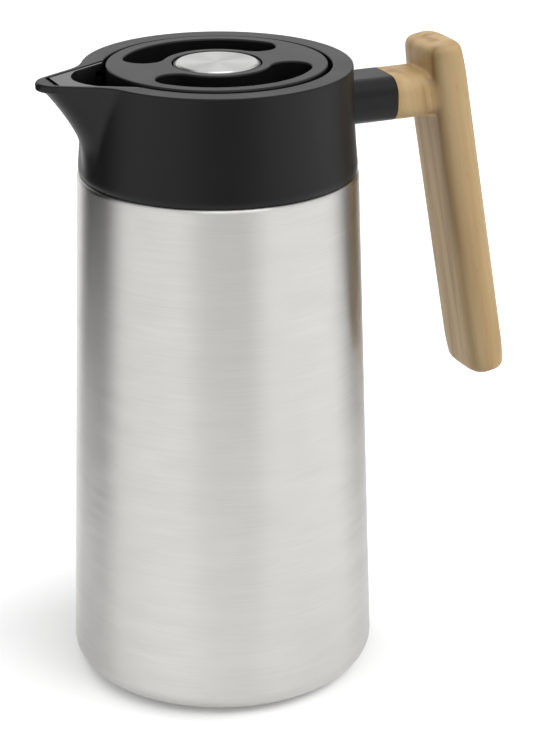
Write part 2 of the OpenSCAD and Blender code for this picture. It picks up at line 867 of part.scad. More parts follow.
module stopper_cap() {
    plate_z = cap_top - cap_top_t;
    color(black)
        difference() {
            union() {
                rotate_extrude()
                    polygon(concat(
                        [[hub_r, cap_top], [hub_r, hub_floor_top - hub_floor_t],
                            [hub_r + cap_wall, hub_floor_top - hub_floor_t],
                            [hub_r + cap_wall, plate_z], [cap_r - cap_wall, plate_z],
                            [cap_r - cap_wall, cap_bottom], [cap_r, cap_bottom]],
                        arc_points(cap_r - cap_edge, cap_top - cap_edge, cap_edge, cap_edge, 0, 90, 5)));
                disc(hub_r + fuse, hub_floor_top - hub_floor_t, hub_floor_top);
                kidneys(recess_w / 2 + cap_wall, cap_bottom, cap_top - 0.5);
                for (s = [-1, 1])
                    translate([s * screw_post_x, 0, cap_bottom])
                        cylinder(r = screw_post_r, h = cap_top - cap_bottom - 1, $fn = 32);
            }
            kidneys(recess_w / 2, cup_floor, cap_top + 1);
            disc(rod_r + rod_clear, hub_floor_top - hub_floor_t - 1, hub_floor_top + 1);
            disc(rod_r + 3.2, hub_floor_top - hub_floor_t - 1, hub_floor_top - hub_floor_t + 2);
            for (s = [-1, 1])
                translate([s * screw_post_x, 0, cap_bottom - 1])
                    cylinder(r = stopper_screw_r - 0.2, h = stopper_screw_len + 2, $fn = 32);
        }
}

module stopper_body() {
    port_bottom = flange_top + 0.4;
    port_top = cap_bottom - tab_t;
    rim_out = body_r + 0.8;
    color(black)
        difference() {
            union() {
                rotate_extrude()
                    polygon([[body_bore, body_bottom], [body_r, body_bottom],
                        [body_r, flange_bottom], [body_flange_r, flange_bottom],
                        [body_flange_r, flange_top], [rim_out, flange_top],
                        [rim_out, cap_bottom], [body_bore, cap_bottom]]);
                for (k = [0:lug_count - 1])
                    rotate([0, 0, 360 * k / lug_count])
                        lug(body_r - fuse, body_r + lug_h, stopper_lug_z);
                for (s = [0, 180])
                    rotate([0, 0, s])
                        translate([screw_post_x - screw_post_r, -screw_post_r, cap_bottom - tab_t])
                            cube([body_r - screw_post_x + screw_post_r - 1, 2 * screw_post_r, tab_t]);
            }
            for (k = [0:port_count - 1])
                rotate([0, 0, 360 * (k + 0.5) / port_count])
                    translate([body_bore - body_t, -port_w / 2, port_bottom])
                        cube([4 * body_t, port_w, port_top - port_bottom]);
            for (s = [-1, 1])
                translate([s * screw_post_x, 0, cap_bottom - tab_t - 1])
                    cylinder(r = stopper_screw_r + 0.2, h = tab_t + 2, $fn = 32);
        }
}

module stopper_screws() {
    color(steel)
        for (s = [-1, 1])
            translate([s * screw_post_x, 0, 0])
                screw(stopper_screw_r - 0.2, 2.5, 1.8, stopper_screw_len, cap_bottom - tab_t);
}

module seat_ring() {
    spigot_r = body_bore - fit_gap;
    top = seat_bottom + seat_floor_t;
    color(black)
        rotate_extrude()
            polygon([[seat_r, seat_bottom], [body_r - 0.4, seat_bottom], [body_r - 0.4, top],
                [spigot_r, top], [spigot_r, top + seat_spigot_h],
                [spigot_r - body_t, top + seat_spigot_h], [spigot_r - body_t, top], [seat_r, top]]);
}

module seat_gasket() {
    color(silicone)
        tube(body_bore, body_r - 0.3, seat_bottom + seat_floor_t, body_bottom);
}

module rod_seal() {
    z0 = hub_floor_top - hub_floor_t;
    color(silicone)
        tube(rod_r + 0.2, rod_r + 3.1, z0, z0 + 2);
}

module stopper_gasket() {
    color(silicone)
        tube(body_r + 0.3, body_flange_r - 0.2, shelf_z, flange_bottom);
}

// Button and valve ------------------------------------------------------------

module push_button() {
    color(black)
        difference() {
            union() {
                rotate_extrude()
                    polygon([[0, button_ceiling], [button_r - button_wall, button_ceiling],
                        [button_r - button_wall, button_skirt_z], [button_r, button_skirt_z],
                        [button_r, button_top - 0.3], [button_r - 0.3, button_top], [0, button_top]]);
                disc(boss_r, button_ceiling - boss_len, button_ceiling + fuse);
            }
            disc(rod_r, button_ceiling - boss_len - 1, button_ceiling);
        }
}

module button_disc() {
    edge = 0.45;
    color(steel)
        rotate_extrude()
            polygon(concat([[0, button_top], [disc_r, button_top]],
                arc_points(disc_r - edge, disc_top - edge, edge, edge, 0, 90, 5),
                [[0, disc_top]]));
}

module valve_rod() {
    color(steel)
        disc(rod_r, rod_bottom, rod_top);
}

module valve_plate() {
    color(black)
        difference() {
            rotate_extrude()
                polygon([[0, valve_top - plate_t], [valve_r - 2, valve_top - plate_t],
                    [valve_r, valve_top - plate_t / 2], [valve_r, valve_top], [0, valve_top]]);
            disc(rod_r, valve_top - plate_t - 1, valve_top + 1);
        }
}

module valve_seal() {
    color(silicone)
        tube(seat_r - 2, valve_r - 0.3, valve_top, valve_top + seal_t);
}

module valve_nut() {
    color(steel)
        difference() {
            translate([0, 0, valve_top - plate_t - nut_t])
                cylinder(r = nut_r, h = nut_t, $fn = 6);
            disc(rod_r, valve_top - plate_t - nut_t - 1, valve_top - plate_t + 1);
        }
}

// Coil spring between the floor of the hub and the ceiling of the button.
module button_spring() {
    per_turn = 16;
    sides = 6;
    z0 = hub_floor_top + spring_wire;
    rise = button_ceiling - hub_floor_top - 2 * spring_wire;
    count = ceil(spring_turns * per_turn);
    color(steel)
        loft([for (i = [0:count])
            let (a = 360 * spring_turns * i / count, z = z0 + rise * i / count)
            [for (k = [0:sides - 1])
                let (b = -360 * k / sides, r = spring_r + spring_wire * cos(b))
                [r * cos(a), r * sin(a), z + spring_wire * sin(b)]]]);
}

outer_shell();
inner_liner();
base_plate();
getter();
foot_pad();
neck_ring();
collar();
pour_insert();
mouth_gasket();
collar_gasket();
collar_screws();
handle_grip();
thread_insert();
handle_bolt();
handle_washer();
stopper_cap();
stopper_body();
stopper_screws();
seat_ring();
seat_gasket();
rod_seal();
stopper_gasket();
push_button();
button_disc();
valve_rod();
valve_plate();
valve_seal();
valve_nut();
button_spring();
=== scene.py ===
"""Looks of a vacuum carafe with a pouring collar, a screw-in stopper and a T handle.

Lengths are millimetres in the part's frame, turned to metres where a mesh is made. The
origin is the centre of the underside, +Z is up, +X points to the handle and -X to the
spout.
"""

from __future__ import annotations

import json
import logging
import math
from collections.abc import Callable, Mapping, Sequence
from dataclasses import dataclass
from enum import Enum
from typing import Any

import bmesh
import bpy
from mathutils import Matrix, Vector

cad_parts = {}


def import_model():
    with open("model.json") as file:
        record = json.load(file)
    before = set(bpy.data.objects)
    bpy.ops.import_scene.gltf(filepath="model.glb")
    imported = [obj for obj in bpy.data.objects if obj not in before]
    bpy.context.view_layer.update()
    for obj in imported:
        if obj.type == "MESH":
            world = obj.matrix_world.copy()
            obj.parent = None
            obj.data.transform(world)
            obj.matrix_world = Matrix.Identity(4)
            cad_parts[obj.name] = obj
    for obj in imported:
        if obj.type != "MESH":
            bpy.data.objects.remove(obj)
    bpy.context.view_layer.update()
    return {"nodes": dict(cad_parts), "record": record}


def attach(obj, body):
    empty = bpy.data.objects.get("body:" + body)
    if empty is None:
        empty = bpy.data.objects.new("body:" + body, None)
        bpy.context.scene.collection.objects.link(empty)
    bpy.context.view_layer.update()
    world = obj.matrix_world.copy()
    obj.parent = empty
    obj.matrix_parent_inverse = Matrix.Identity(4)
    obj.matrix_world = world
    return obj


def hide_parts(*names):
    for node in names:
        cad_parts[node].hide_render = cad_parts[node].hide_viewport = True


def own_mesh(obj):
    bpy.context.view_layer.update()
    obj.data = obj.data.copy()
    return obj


LOG = logging.getLogger("carafe")
MM = 0.001
TURN_STEPS = 224
CAMERA_TURN = 22.5
CUT_PAST = 5.0  # how far a cutter stands past the face that it opens

Point = tuple[float, float]
Point3 = tuple[float, float, float]
Colour = tuple[float, float, float, float]
Tree = bpy.types.NodeTree
Socket = bpy.types.NodeSocket
Piece = bpy.types.Object


class Body(Enum):
    """The rigid bodies that the pieces ride on."""

    CARAFE = "carafe"
    STOPPER = "stopper"
    BUTTON = "button"


class Grain(Enum):
    """How the marks of a metal finish run."""

    ROUND_BODY = "round the body"
    ROUND_FACE = "in rings on a flat face"


# Colour and nodes -----------------------------------------------------------------


def srgb(code: str) -> Colour:
    """Turn an sRGB hex colour into linear RGBA.

    Args:
        code: Six hex digits after a hash.

    Returns:
        The colour in Blender's linear space, opaque.
    """
    parts = [int(code[i : i + 2], 16) / 255 for i in (1, 3, 5)]
    red, green, blue = (
        p / 12.92 if p <= 0.04045 else ((p + 0.055) / 1.055) ** 2.4 for p in parts
    )
    return (red, green, blue, 1.0)


def feed(tree: Tree, socket: Socket, value: Any) -> None:
    """Link an output to an input socket, or set the input's value.

    Args:
        tree: The tree that holds both.
        socket: The input socket.
        value: An output socket, or a plain value.
    """
    if isinstance(value, Socket):
        tree.links.new(value, socket)
    else:
        socket.default_value = value


def add_node(
    tree: Tree, kind: str, inputs: Mapping[str | int, Any] | None = None, **settings: Any
) -> bpy.types.Node:
    """Add a node, set its properties and fill or link its inputs.

    Args:
        tree: The tree that gets the node.
        kind: The node's type name after "ShaderNode".
        inputs: Values or output sockets by input name or number.
        **settings: Properties of the node itself.

    Returns:
        The new node.
    """
    node = tree.nodes.new("ShaderNode" + kind)
    for name, value in settings.items():
        setattr(node, name, value)
    for key, value in (inputs or {}).items():
        feed(tree, node.inputs[key], value)
    return node


def reckon(tree: Tree, operation: str, *values: Any, kind: str = "Math") -> Socket:
    """Result of a maths node, which is a number for a vector's LENGTH."""
    node = add_node(tree, kind, dict(enumerate(values)), operation=operation)
    return node.outputs["Value" if kind == "Math" or operation == "LENGTH" else "Vector"]


def empty_tree(owner: bpy.types.Material | bpy.types.World) -> Tree:
    """Switch nodes on and take out the ones that are there from the start.

    Args:
        owner: The material or world.

    Returns:
        Its empty tree.
    """
    owner.use_nodes = True
    owner.node_tree.nodes.clear()
    return owner.node_tree


def leaned(tree: Tree, tilt_deg: float) -> Socket:
    """Object coordinates, with their Z axis leaned towards -X by an angle.

    Args:
        tree: The material's tree.
        tilt_deg: The angle in degrees.

    Returns:
        The coordinates in metres.
    """
    place = add_node(tree, "TexCoord").outputs["Object"]
    inputs = {"Vector": place, "Angle": math.radians(tilt_deg)}
    return add_node(tree, "VectorRotate", inputs, rotation_type="Y_AXIS").outputs[0]


def from_axis(tree: Tree, place: Socket) -> Socket:
    """Distance of a place from the Z axis, in metres."""
    flat = reckon(tree, "MULTIPLY", place, (1.0, 1.0, 0.0), kind="VectorMath")
    return reckon(tree, "LENGTH", flat, kind="VectorMath")


def streaks(tree: Tree, cell_mm: Point3, tilt_deg: float = 0.0, **noise: float) -> Socket:
    """Noise whose cells have a real size along each axis.

    Args:
        tree: The material's tree.
        cell_mm: Cell length along X, Y and Z in millimetres.
        tilt_deg: Lean of the cells' Z axis towards -X.
        **noise: Detail, Roughness or Distortion of the noise.

    Returns:
        The noise value, 0 to 1.
    """
    scale = [1 / (MM * length) for length in cell_mm]
    cells = reckon(tree, "MULTIPLY", leaned(tree, tilt_deg), scale, kind="VectorMath")
    words = {key.capitalize(): value for key, value in noise.items()}
    return add_node(tree, "TexNoise", {"Vector": cells, "Scale": 1.0, **words}).outputs[0]


def between(tree: Tree, value: Socket, low: float, high: float) -> Socket:
    """Spread a value over a range, which it enters at 0.25 and leaves at 0.75."""
    inputs = {"Value": value, "From Min": 0.25, "From Max": 0.75, "To Min": low, "To Max": high}
    return add_node(tree, "MapRange", inputs).outputs[0]


def ramp(tree: Tree, value: Socket, *stops: tuple[float, str]) -> Socket:
    """Colour that runs through sRGB stops.

    Args:
        tree: The material's tree.
        value: The value, 0 to 1.
        *stops: Value and colour of each stop, in order.

    Returns:
        The colour.
    """
    node = add_node(tree, "ValToRGB", {"Fac": value})
    elements = node.color_ramp.elements
    while len(elements) < len(stops):
        elements.new(1.0)
    for element, (place, colour) in zip(elements, stops):
        element.position = place
        element.color = srgb(colour)
    return node.outputs[0]


def shaded(tree: Tree, colour: Socket | Colour, value: Socket) -> Socket:
    """Make a colour brighter or darker by a factor."""
    return add_node(tree, "HueSaturation", {"Color": colour, "Value": value}).outputs[0]


def relief(tree: Tree, height: Socket, depth_mm: float, strength: float = 1.0) -> Socket:
    """Normal of a surface bumped by a height of 0 to 1, with its depth in millimetres."""
    inputs = {"Height": height, "Distance": depth_mm * MM, "Strength": strength}
    return add_node(tree, "Bump", inputs).outputs[0]


# Finishes -------------------------------------------------------------------------


@dataclass(frozen=True)
class Finish:
    """A surface: what it is made of and how it was made.

    Attributes:
        name: Material and process.
        slot: The record's material slot.
        colour: Main sRGB colour.
        roughness: Mean roughness.
    """

    name: str
    slot: str
    colour: str
    roughness: float

    def material(self) -> bpy.types.Material:
        """Make the material, or return it if it is already there.

        Returns:
            The node material of this finish.
        """
        known = bpy.data.materials.get(self.name)
        if known is not None:
            return known
        made = bpy.data.materials.new(self.name)
        tree = empty_tree(made)
        shader = add_node(tree, "BsdfPrincipled", {"Roughness": self.roughness})
        for name, value in self.dress(tree).items():
            feed(tree, shader.inputs[name], value)
        add_node(tree, "OutputMaterial", {"Surface": shader.outputs[0]})
        return made

    def dress(self, tree: Tree) -> dict[str, Any]:
        """Values and sockets of the shader's inputs, by name."""
        raise NotImplementedError


@dataclass(frozen=True)
class BrushedSteel(Finish):
    """Stainless steel with fine marks in one direction.

    The marks blur a reflection across themselves, so the shell shows upright light and
    dark bands that fade along its height, and the disc a soft light fan.
    """

    grain: Grain = Grain.ROUND_BODY
    spread: float = 1.0
    mark_mm: float = 0.35
    mark_depth_mm: float = 0.002
    cloud_share: float = 0.35
    level_gain: float = 0.74
    across: float = 0.25

    def dress(self, tree: Tree) -> dict[str, Any]:
        """Marks and a faint cloud that tint and blur, and marks that bump.

        Args:
            tree: The material's tree.

        Returns:
            The shader's inputs.
        """
        if self.grain is Grain.ROUND_FACE:
            marks = self.rings(tree)
            cloud = streaks(tree, (5.0, 5.0, 5.0), detail=2.0)
        else:
            marks = streaks(tree, (26.0, 26.0, self.mark_mm), detail=3.0, roughness=0.6)
            cloud = streaks(tree, (22.0, 22.0, 6.0), detail=2.0)
        blend = reckon(tree, "MULTIPLY_ADD", cloud, self.cloud_share, marks)
        level = reckon(tree, "MULTIPLY", blend, self.level_gain)
        return {
            "Base Color": ramp(tree, level, (0.3, self.darker()), (0.7, self.colour)),
            "Roughness": between(tree, level, self.roughness * 1.15, self.roughness * 0.85),
            "Metallic": 1.0,
            "Anisotropic": self.spread,
            "Anisotropic Rotation": self.across,
            "Tangent": add_node(tree, "Tangent", direction_type="RADIAL", axis="Z").outputs[0],
            "Normal": relief(tree, marks, self.mark_depth_mm),
        }

    def rings(self, tree: Tree) -> Socket:
        """Marks in rings about the axis, as a spinning pad leaves them.

        Args:
            tree: The material's tree.

        Returns:
            The marks' value, 0 to 1.
        """
        radius = from_axis(tree, add_node(tree, "TexCoord").outputs["Object"])
        inputs = {"W": radius, "Scale": 1 / (MM * self.mark_mm), "Detail": 2.0}
        return add_node(tree, "TexNoise", inputs, noise_dimensions="1D").outputs[0]

    def darker(self) -> str:
        """The colour in the bottom of a mark, eight steps darker."""
        parts = (max(0, int(self.colour[i : i + 2], 16) - 8) for i in (1, 3, 5))
        return "#" + "".join(f"{part:02X}" for part in parts)


@dataclass(frozen=True)
class TurnedMetal(Finish):
    """Metal of a hidden or small piece, with the faint marks of its tool."""

    mark_mm: float = 0.3
    mark_depth_mm: float = 0.01

    def dress(self, tree: Tree) -> dict[str, Any]:
        """Fine marks round the piece that shade, blur and bump.

        Args:
            tree: The material's tree.

        Returns:
            The shader's inputs.
        """
        marks = streaks(tree, (6.0, 6.0, self.mark_mm), detail=2.0)
        return {
            "Base Color": shaded(tree, srgb(self.colour), between(tree, marks, 0.9, 1.05)),
            "Roughness": between(tree, marks, self.roughness * 1.2, self.roughness * 0.8),
            "Metallic": 1.0,
            "Normal": relief(tree, marks, self.mark_depth_mm),
        }


@dataclass(frozen=True)
class MouldedPolymer(Finish):
    """Polypropylene or rubber from a mould with a fine eroded texture.

    The texture takes the mirror out of the surface: faces that the light grazes turn a
    soft grey and upright walls stay near black.
    """

    grain_mm: float = 0.35
    grain_depth_mm: float = 0.012
    cloud_mm: float = 18.0
    ior: float = 1.49
    sheen_left: float = 0.25

    def dress(self, tree: Tree) -> dict[str, Any]:
        """Mould grain that bumps, and a wide cloud that shades and blurs.

        Args:
            tree: The material's tree.

        Returns:
            The shader's inputs.
        """
        grain = streaks(tree, (self.grain_mm,) * 3, detail=2.0, roughness=0.6)
        cloud = streaks(tree, (self.cloud_mm,) * 3, detail=2.0)
        return {
            "Base Color": shaded(tree, srgb(self.colour), between(tree, cloud, 0.92, 1.08)),
            "Roughness": between(tree, cloud, self.roughness * 0.94, self.roughness * 1.06),
            "IOR": self.ior,
            "Specular IOR Level": self.sheen_left,
            "Normal": relief(tree, grain, self.grain_depth_mm),
        }


@dataclass(frozen=True)
class OiledBeech(Finish):
    """Beech, sanded round and oiled, with its grain along the grip.

    Long soft bands of tan and brown, fine darker fibres and short flecks, under a thin
    satin oil.
    """

    pale: str = "#BEA376"
    brown: str = "#997A4D"
    fleck: str = "#7E5F3F"
    lean_deg: float = 9.8
    # Place, width and darkness of the painted shade along one edge of the grip.
    shade_line_mm: Point3 = (122.0, -12.0, 0.0)
    shade_line_w: float = 7.5
    shade_line_level: float = 0.74
    oil_ior: float = 1.5
    fibre_depth_mm: float = 0.02
    fibre_strength: float = 0.5

    def dress(self, tree: Tree) -> dict[str, Any]:
        """Bands, fibres and flecks that colour the wood, and painted shade along one edge of the
        grip.

        Args:
            tree: The material's tree.

        Returns:
            The shader's inputs.
        """
        lean = self.lean_deg
        bands = streaks(tree, (8.0, 8.0, 120.0), lean, detail=2.0, distortion=0.3)
        fibres = streaks(tree, (0.7, 0.7, 22.0), lean, detail=3.0, roughness=0.65)
        flecks = streaks(tree, (0.6, 1.1, 4.5), lean, detail=1.0)
        wide = ramp(tree, bands, (0.32, self.brown), (0.47, self.colour), (0.66, self.pale))
        fine = shaded(tree, wide, between(tree, fibres, 0.95, 1.05))
        # Painted shade darkens the wood along the edge between the grip's inner and -Y faces.
        wood_with_shade = shaded(tree, fine, self.painted_shade_streak(tree))
        inputs = {"Value": flecks, "From Min": 0.67, "From Max": 0.76, "To Max": 0.25}
        mask = add_node(tree, "MapRange", inputs).outputs[0]
        mixed = add_node(tree, "Mix", {0: mask, 6: wood_with_shade, 7: srgb(self.fleck)}, data_type="RGBA")
        return {
            "Base Color": mixed.outputs[2],
            "Roughness": between(tree, fibres, self.roughness * 1.12, self.roughness * 0.9),
            "IOR": self.oil_ior,
            "Normal": relief(tree, fibres, self.fibre_depth_mm, self.fibre_strength),
        }

    def painted_shade_streak(self, tree: Tree) -> Socket:
        """Painted shade that runs along one edge of the grip, where its inner face meets its -Y
        face.

        Args:
            tree: The material's tree.

        Returns:
            Brightness, 1 away from the streak.
        """
        wander = streaks(tree, (9.0, 9.0, 60.0), self.lean_deg, detail=2.0)
        middle = [length * MM for length in self.shade_line_mm]
        away = reckon(tree, "SUBTRACT", leaned(tree, self.lean_deg), middle, kind="VectorMath")
        inputs = {
            "Value": from_axis(tree, away),
            "From Max": between(tree, wander, self.shade_line_w * MM * 0.7, self.shade_line_w * MM * 1.3),
            "To Min": self.shade_line_level,
            "To Max": 1.0,
        }
        return add_node(tree, "MapRange", inputs, interpolation_type="SMOOTHSTEP").outputs[0]


SHELL_STEEL = BrushedSteel(
    "Stainless steel, brushed round the body", "satin_steel", "#D2D1CE", 0.34
)
DISC_STEEL = BrushedSteel(
    "Stainless steel, spun brushed", "disc_steel", "#CCCCCA", 0.34, Grain.ROUND_FACE, 0.9
)
INNER_STEEL = TurnedMetal("Stainless steel, deep drawn", "inner_steel", "#B9B7B2", 0.35)
SCREW_STEEL = TurnedMetal("Stainless steel, turned", "screw_steel", "#B4B3B0", 0.3)
GETTER_ALLOY = TurnedMetal("Getter alloy, pressed", "getter_alloy", "#9A9893", 0.55)
INSERT_BRASS = TurnedMetal("Brass, turned", "insert_brass", "#C9A85A", 0.3)
BLACK_POLYMER = MouldedPolymer(
    "Polypropylene, moulded fine texture", "black_polymer", "#0D0D0E", 0.38
)
POLISHED_POLYMER = MouldedPolymer(
    "Polypropylene, polished pouring tray", "black_polymer", "#0D0D0E", 0.16, sheen_left=0.5
)
FOOT_RUBBER = MouldedPolymer(
    "Rubber, moulded foot pad", "foot_rubber", "#202022", 0.75, grain_mm=0.6
)
SILICONE = MouldedPolymer("Silicone, moulded", "silicone", "#A9ABAC", 0.45, ior=1.41)
BEECH = OiledBeech("Beech, sanded and oiled", "beech", "#B39566", 0.46)

METALS = (SHELL_STEEL, DISC_STEEL, INNER_STEEL, SCREW_STEEL, GETTER_ALLOY, INSERT_BRASS)
FINISHES = {
    finish.slot: finish for finish in (*METALS, BLACK_POLYMER, FOOT_RUBBER, SILICONE, BEECH)
}


# Mesh tools -----------------------------------------------------------------------


def arc(
    cx: float, cy: float, rx: float, ry: float, start: float, end: float, steps: int
) -> list[Point]:
    """Points of an elliptical arc.

    Args:
        cx: Centre, first coordinate.
        cy: Centre, second coordinate.
        rx: Radius along the first coordinate.
        ry: Radius along the second coordinate.
        start: First angle in degrees.
        end: Last angle in degrees.
        steps: Number of chords.

    Returns:
        The points from start to end.
    """
    turns = [math.radians(start + (end - start) * i / steps) for i in range(steps + 1)]
    return [(cx + rx * math.cos(a), cy + ry * math.sin(a)) for a in turns]


def placed(name: str, data: bpy.types.ID) -> Piece:
    """Add an object with its data to the scene.

    Args:
        name: Name of the object.
        data: Its mesh, lamp or camera.

    Returns:
        The linked object.
    """
    made = bpy.data.objects.new(name, data)
    bpy.context.scene.collection.objects.link(made)
    return made


def new_object(name: str, verts: Sequence[Point3], faces: Sequence[Sequence[int]]) -> Piece:
    """Make a mesh object with outward normals from points in millimetres.

    Args:
        name: Name of the object.
        verts: Corner points in millimetres.
        faces: Corner numbers of each face.

    Returns:
        The linked object.
    """
    mesh = bpy.data.meshes.new(name)
    mesh.from_pydata([Vector(v) * MM for v in verts], [], [list(f) for f in faces])
    work = bmesh.new()
    work.from_mesh(mesh)
    bmesh.ops.recalc_face_normals(work, faces=work.faces)
    work.to_mesh(mesh)
    work.free()
    return placed(name, mesh)


def turned(name: str, outline: Sequence[Point], steps: int = TURN_STEPS) -> Piece:
    """Revolve a closed outline about Z.

    Args:
        name: Name of the object.
        outline: Radius and height of each point in millimetres.
        steps: Number of sectors.

    Returns:
        The closed solid.
    """
    verts: list[Point3] = []
    rows: list[list[int]] = []
    for radius, height in outline:
        first = len(verts)
        if radius < 1e-6:
            verts.append((0.0, 0.0, height))
            rows.append([first] * steps)
            continue
        for i in range(steps):
            a = math.tau * i / steps
            verts.append((radius * math.cos(a), radius * math.sin(a), height))
        rows.append(list(range(first, first + steps)))
    faces: list[list[int]] = []
    for low, high in zip(rows, rows[1:] + rows[:1]):
        for i in range(steps):
            j = (i + 1) % steps
            corners = list(dict.fromkeys((low[i], low[j], high[j], high[i])))
            if len(corners) > 2:
                faces.append(corners)
    return new_object(name, verts, faces)


def lofted(name: str, rings: Sequence[Sequence[Point3]]) -> Piece:
    """Skin a row of rings that have the same number of points, and close both ends.

    Args:
        name: Name of the object.
        rings: The rings in order, in millimetres.

    Returns:
        The closed solid.
    """
    count = len(rings[0])
    verts = [point for ring in rings for point in ring]
    faces: list[list[int]] = []
    for row in range(len(rings) - 1):
        for i in range(count):
            j = (i + 1) % count
            a, b = row * count, (row + 1) * count
            faces.append([a + i, a + j, b + j, b + i])
    last = (len(rings) - 1) * count
    faces.append(list(range(count)))
    faces.append([last + i for i in reversed(range(count))])
    return new_object(name, verts, faces)


def risen(
    outline: Callable[[float], list[Point]], levels: Sequence[Point]
) -> list[list[Point3]]:
    """Rings of an outline, from the height and the offset of each level."""
    return [[(x, y, z) for x, y in outline(offset)] for z, offset in levels]


def upright(name: str, plan: Sequence[Point], low: float, high: float) -> Piece:
    """Prism along Z of an outline given along X and Y."""
    return lofted(name, risen(lambda _: list(plan), [(low, 0.0), (high, 0.0)]))


def bar(name: str, plan: Sequence[Point], height: float, start: float, end: float) -> Piece:
    """Prism along X, at a height, of an outline given along Y and Z."""
    return lofted(name, [[(x, y, height + z) for y, z in plan] for x in (start, end)])


def rounded_edge(end: float, radius: float, step_deg: int = 15) -> list[Point]:
    """Place and offset of the stations of a quarter round that ends at a face."""
    turns = [math.radians(a) for a in range(0, 91, step_deg)]
    return [(end - radius * (1 - math.sin(a)), radius * (1 - math.cos(a))) for a in turns]


def bake_modifiers(piece: Piece) -> None:
    """Put the result of a piece's modifiers into its mesh.

    Args:
        piece: The piece, which loses its modifiers.
    """
    graph = bpy.context.evaluated_depsgraph_get()
    mesh = bpy.data.meshes.new_from_object(piece.evaluated_get(graph))
    piece.modifiers.clear()
    piece.data = mesh


def carve(piece: Piece, tool: Piece, operation: str = "DIFFERENCE") -> None:
    """Cut a tool from a piece, or join it to the piece, and remove the tool.

    Args:
        piece: The piece that is changed.
        tool: The closed solid that cuts or joins.
        operation: DIFFERENCE, UNION or INTERSECT.
    """
    modifier = piece.modifiers.new("carve", "BOOLEAN")
    modifier.operation = operation
    modifier.solver = "EXACT"
    modifier.object = tool
    bake_modifiers(piece)
    bpy.data.objects.remove(tool, do_unlink=True)


def polish(piece: Piece, crease_deg: float = 32.0) -> None:
    """Merge stray points, smooth the shading and keep creases sharp.

    Args:
        piece: The piece.
        crease_deg: Angle from which an edge stays sharp.
    """
    merge_mm, thin_mm = 0.004, 0.002
    work = bmesh.new()
    work.from_mesh(piece.data)
    bmesh.ops.remove_doubles(work, verts=work.verts, dist=merge_mm * MM)
    bmesh.ops.dissolve_degenerate(work, edges=work.edges, dist=thin_mm * MM)
    work.to_mesh(piece.data)
    work.free()
    piece.data.shade_smooth()
    piece.data.set_sharp_from_angle(angle=math.radians(crease_deg))
    weigh = piece.modifiers.new("face weight", "WEIGHTED_NORMAL")
    weigh.keep_sharp = True


def dress(piece: Piece, finish: Finish, body: Body, *nodes: str) -> None:
    """Give a piece its finish, its body and the nodes that it stands for.

    Args:
        piece: The piece.
        finish: Its finish.
        body: The body that it rides on.
        *nodes: The part's nodes that it replaces.
    """
    piece.data.materials.clear()
    piece.data.materials.append(finish.material())
    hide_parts(*nodes)
    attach(piece, body.value)
    LOG.info("%s: %d faces, %s", piece.name, len(piece.data.polygons), finish.name)


def ease(share: float) -> float:
    """Smooth step from 0 to 1."""
    t = max(0.0, min(1.0, share))
    return t * t * (3 - 2 * t)


def round_rect(width: float, height: float, radius: float, steps: int = 10) -> list[Point]:
    """Rounded rectangle about the origin.

    Args:
        width: Size along the first coordinate.
        height: Size along the second coordinate.
        radius: Corner radius.
        steps: Chords of each corner.

    Returns:
        The outline's points.
    """
    points: list[Point] = []
    for quarter in range(4):
        cx = (width / 2 - radius) * (1 if quarter in (0, 3) else -1)
        cy = (height / 2 - radius) * (1 if quarter < 2 else -1)
        start = 90 * quarter
        points += arc(cx, cy, radius, radius, start, start + 90, steps)
    return points


# Steel flask ----------------------------------------------------------------------


@dataclass
class Flask:
    """Brushed outer shell and the foot pad under it."""

    base_r: float = 58.0
    shoulder_r: float = 51.8
    steel_top: float = 196.9
    foot_t: float = 1.0
    foot_round: float = 8.6
    foot_ring_w: float = 14.0
    wall: float = 0.8
    shoulder_drop: float = 1.6
    shoulder_in: float = 0.9
    neck_r: float = 38.4
    neck_h: float = 6.0
    neck_fillet: float = 1.5
    shell_steps: int = 288
    pad_edge: float = 0.35
    pad_in: float = 1.0
    pad_ring_w: float = 6.0
    plug_gap: float = 0.1

    def outline(self, inset: float) -> list[Point]:
        """Half section of the shell, moved in by an inset.

        Args:
            inset: Distance from the outer surface.

        Returns:
            Points from the foot to the neck.
        """
        foot_r, neck_r = self.foot_round - inset, self.neck_fillet + inset
        foot_x, foot_z = self.base_r - self.foot_round, self.foot_t + self.foot_round
        foot = arc(foot_x, foot_z, foot_r, foot_r, -90, 0, 24)
        shoulder = arc(
            self.shoulder_r - self.shoulder_in,
            self.steel_top - self.shoulder_drop,
            self.shoulder_in - inset / 2,
            self.shoulder_drop - inset / 2,
            0,
            90,
            14,
        )
        low, high = foot[-1], shoulder[0]
        flank = [
            (low[0] + (high[0] - low[0]) * i / 12, low[1] + (high[1] - low[1]) * i / 12)
            for i in range(1, 12)
        ]
        neck_x, neck_z = self.neck_r + self.neck_fillet, self.steel_top + self.neck_fillet
        fillet = arc(neck_x, neck_z, neck_r, neck_r, 270, 180, 8)
        return [
            (self.base_r - self.foot_ring_w, self.foot_t + inset),
            *foot,
            *flank,
            *shoulder,
            *fillet,
            (self.neck_r - inset, self.steel_top + self.neck_h),
        ]

    def build(self) -> None:
        """Make and dress the shell and the foot pad."""
        outline = self.outline(0.0) + self.outline(self.wall)[::-1]
        shell = turned("flask_shell", outline, self.shell_steps)
        polish(shell)
        dress(shell, SHELL_STEEL, Body.CARAFE, "outer_shell")

        pad_r = self.base_r - self.foot_round - self.pad_in
        plug_r = self.base_r - self.foot_ring_w - self.plug_gap
        edge = self.pad_edge
        pad = turned(
            "foot_pad_disc",
            [
                (0.0, 0.0),
                (pad_r - self.pad_ring_w, 0.0),
                *arc(pad_r - edge, edge, edge, edge, -90, 0, 4),
                (pad_r, self.foot_t),
                (plug_r, self.foot_t),
                (plug_r, self.foot_t + self.wall),
                (0.0, self.foot_t + self.wall),
            ],
        )
        polish(pad)
        dress(pad, FOOT_RUBBER, Body.CARAFE, "foot_pad")


# Collar ---------------------------------------------------------------------------


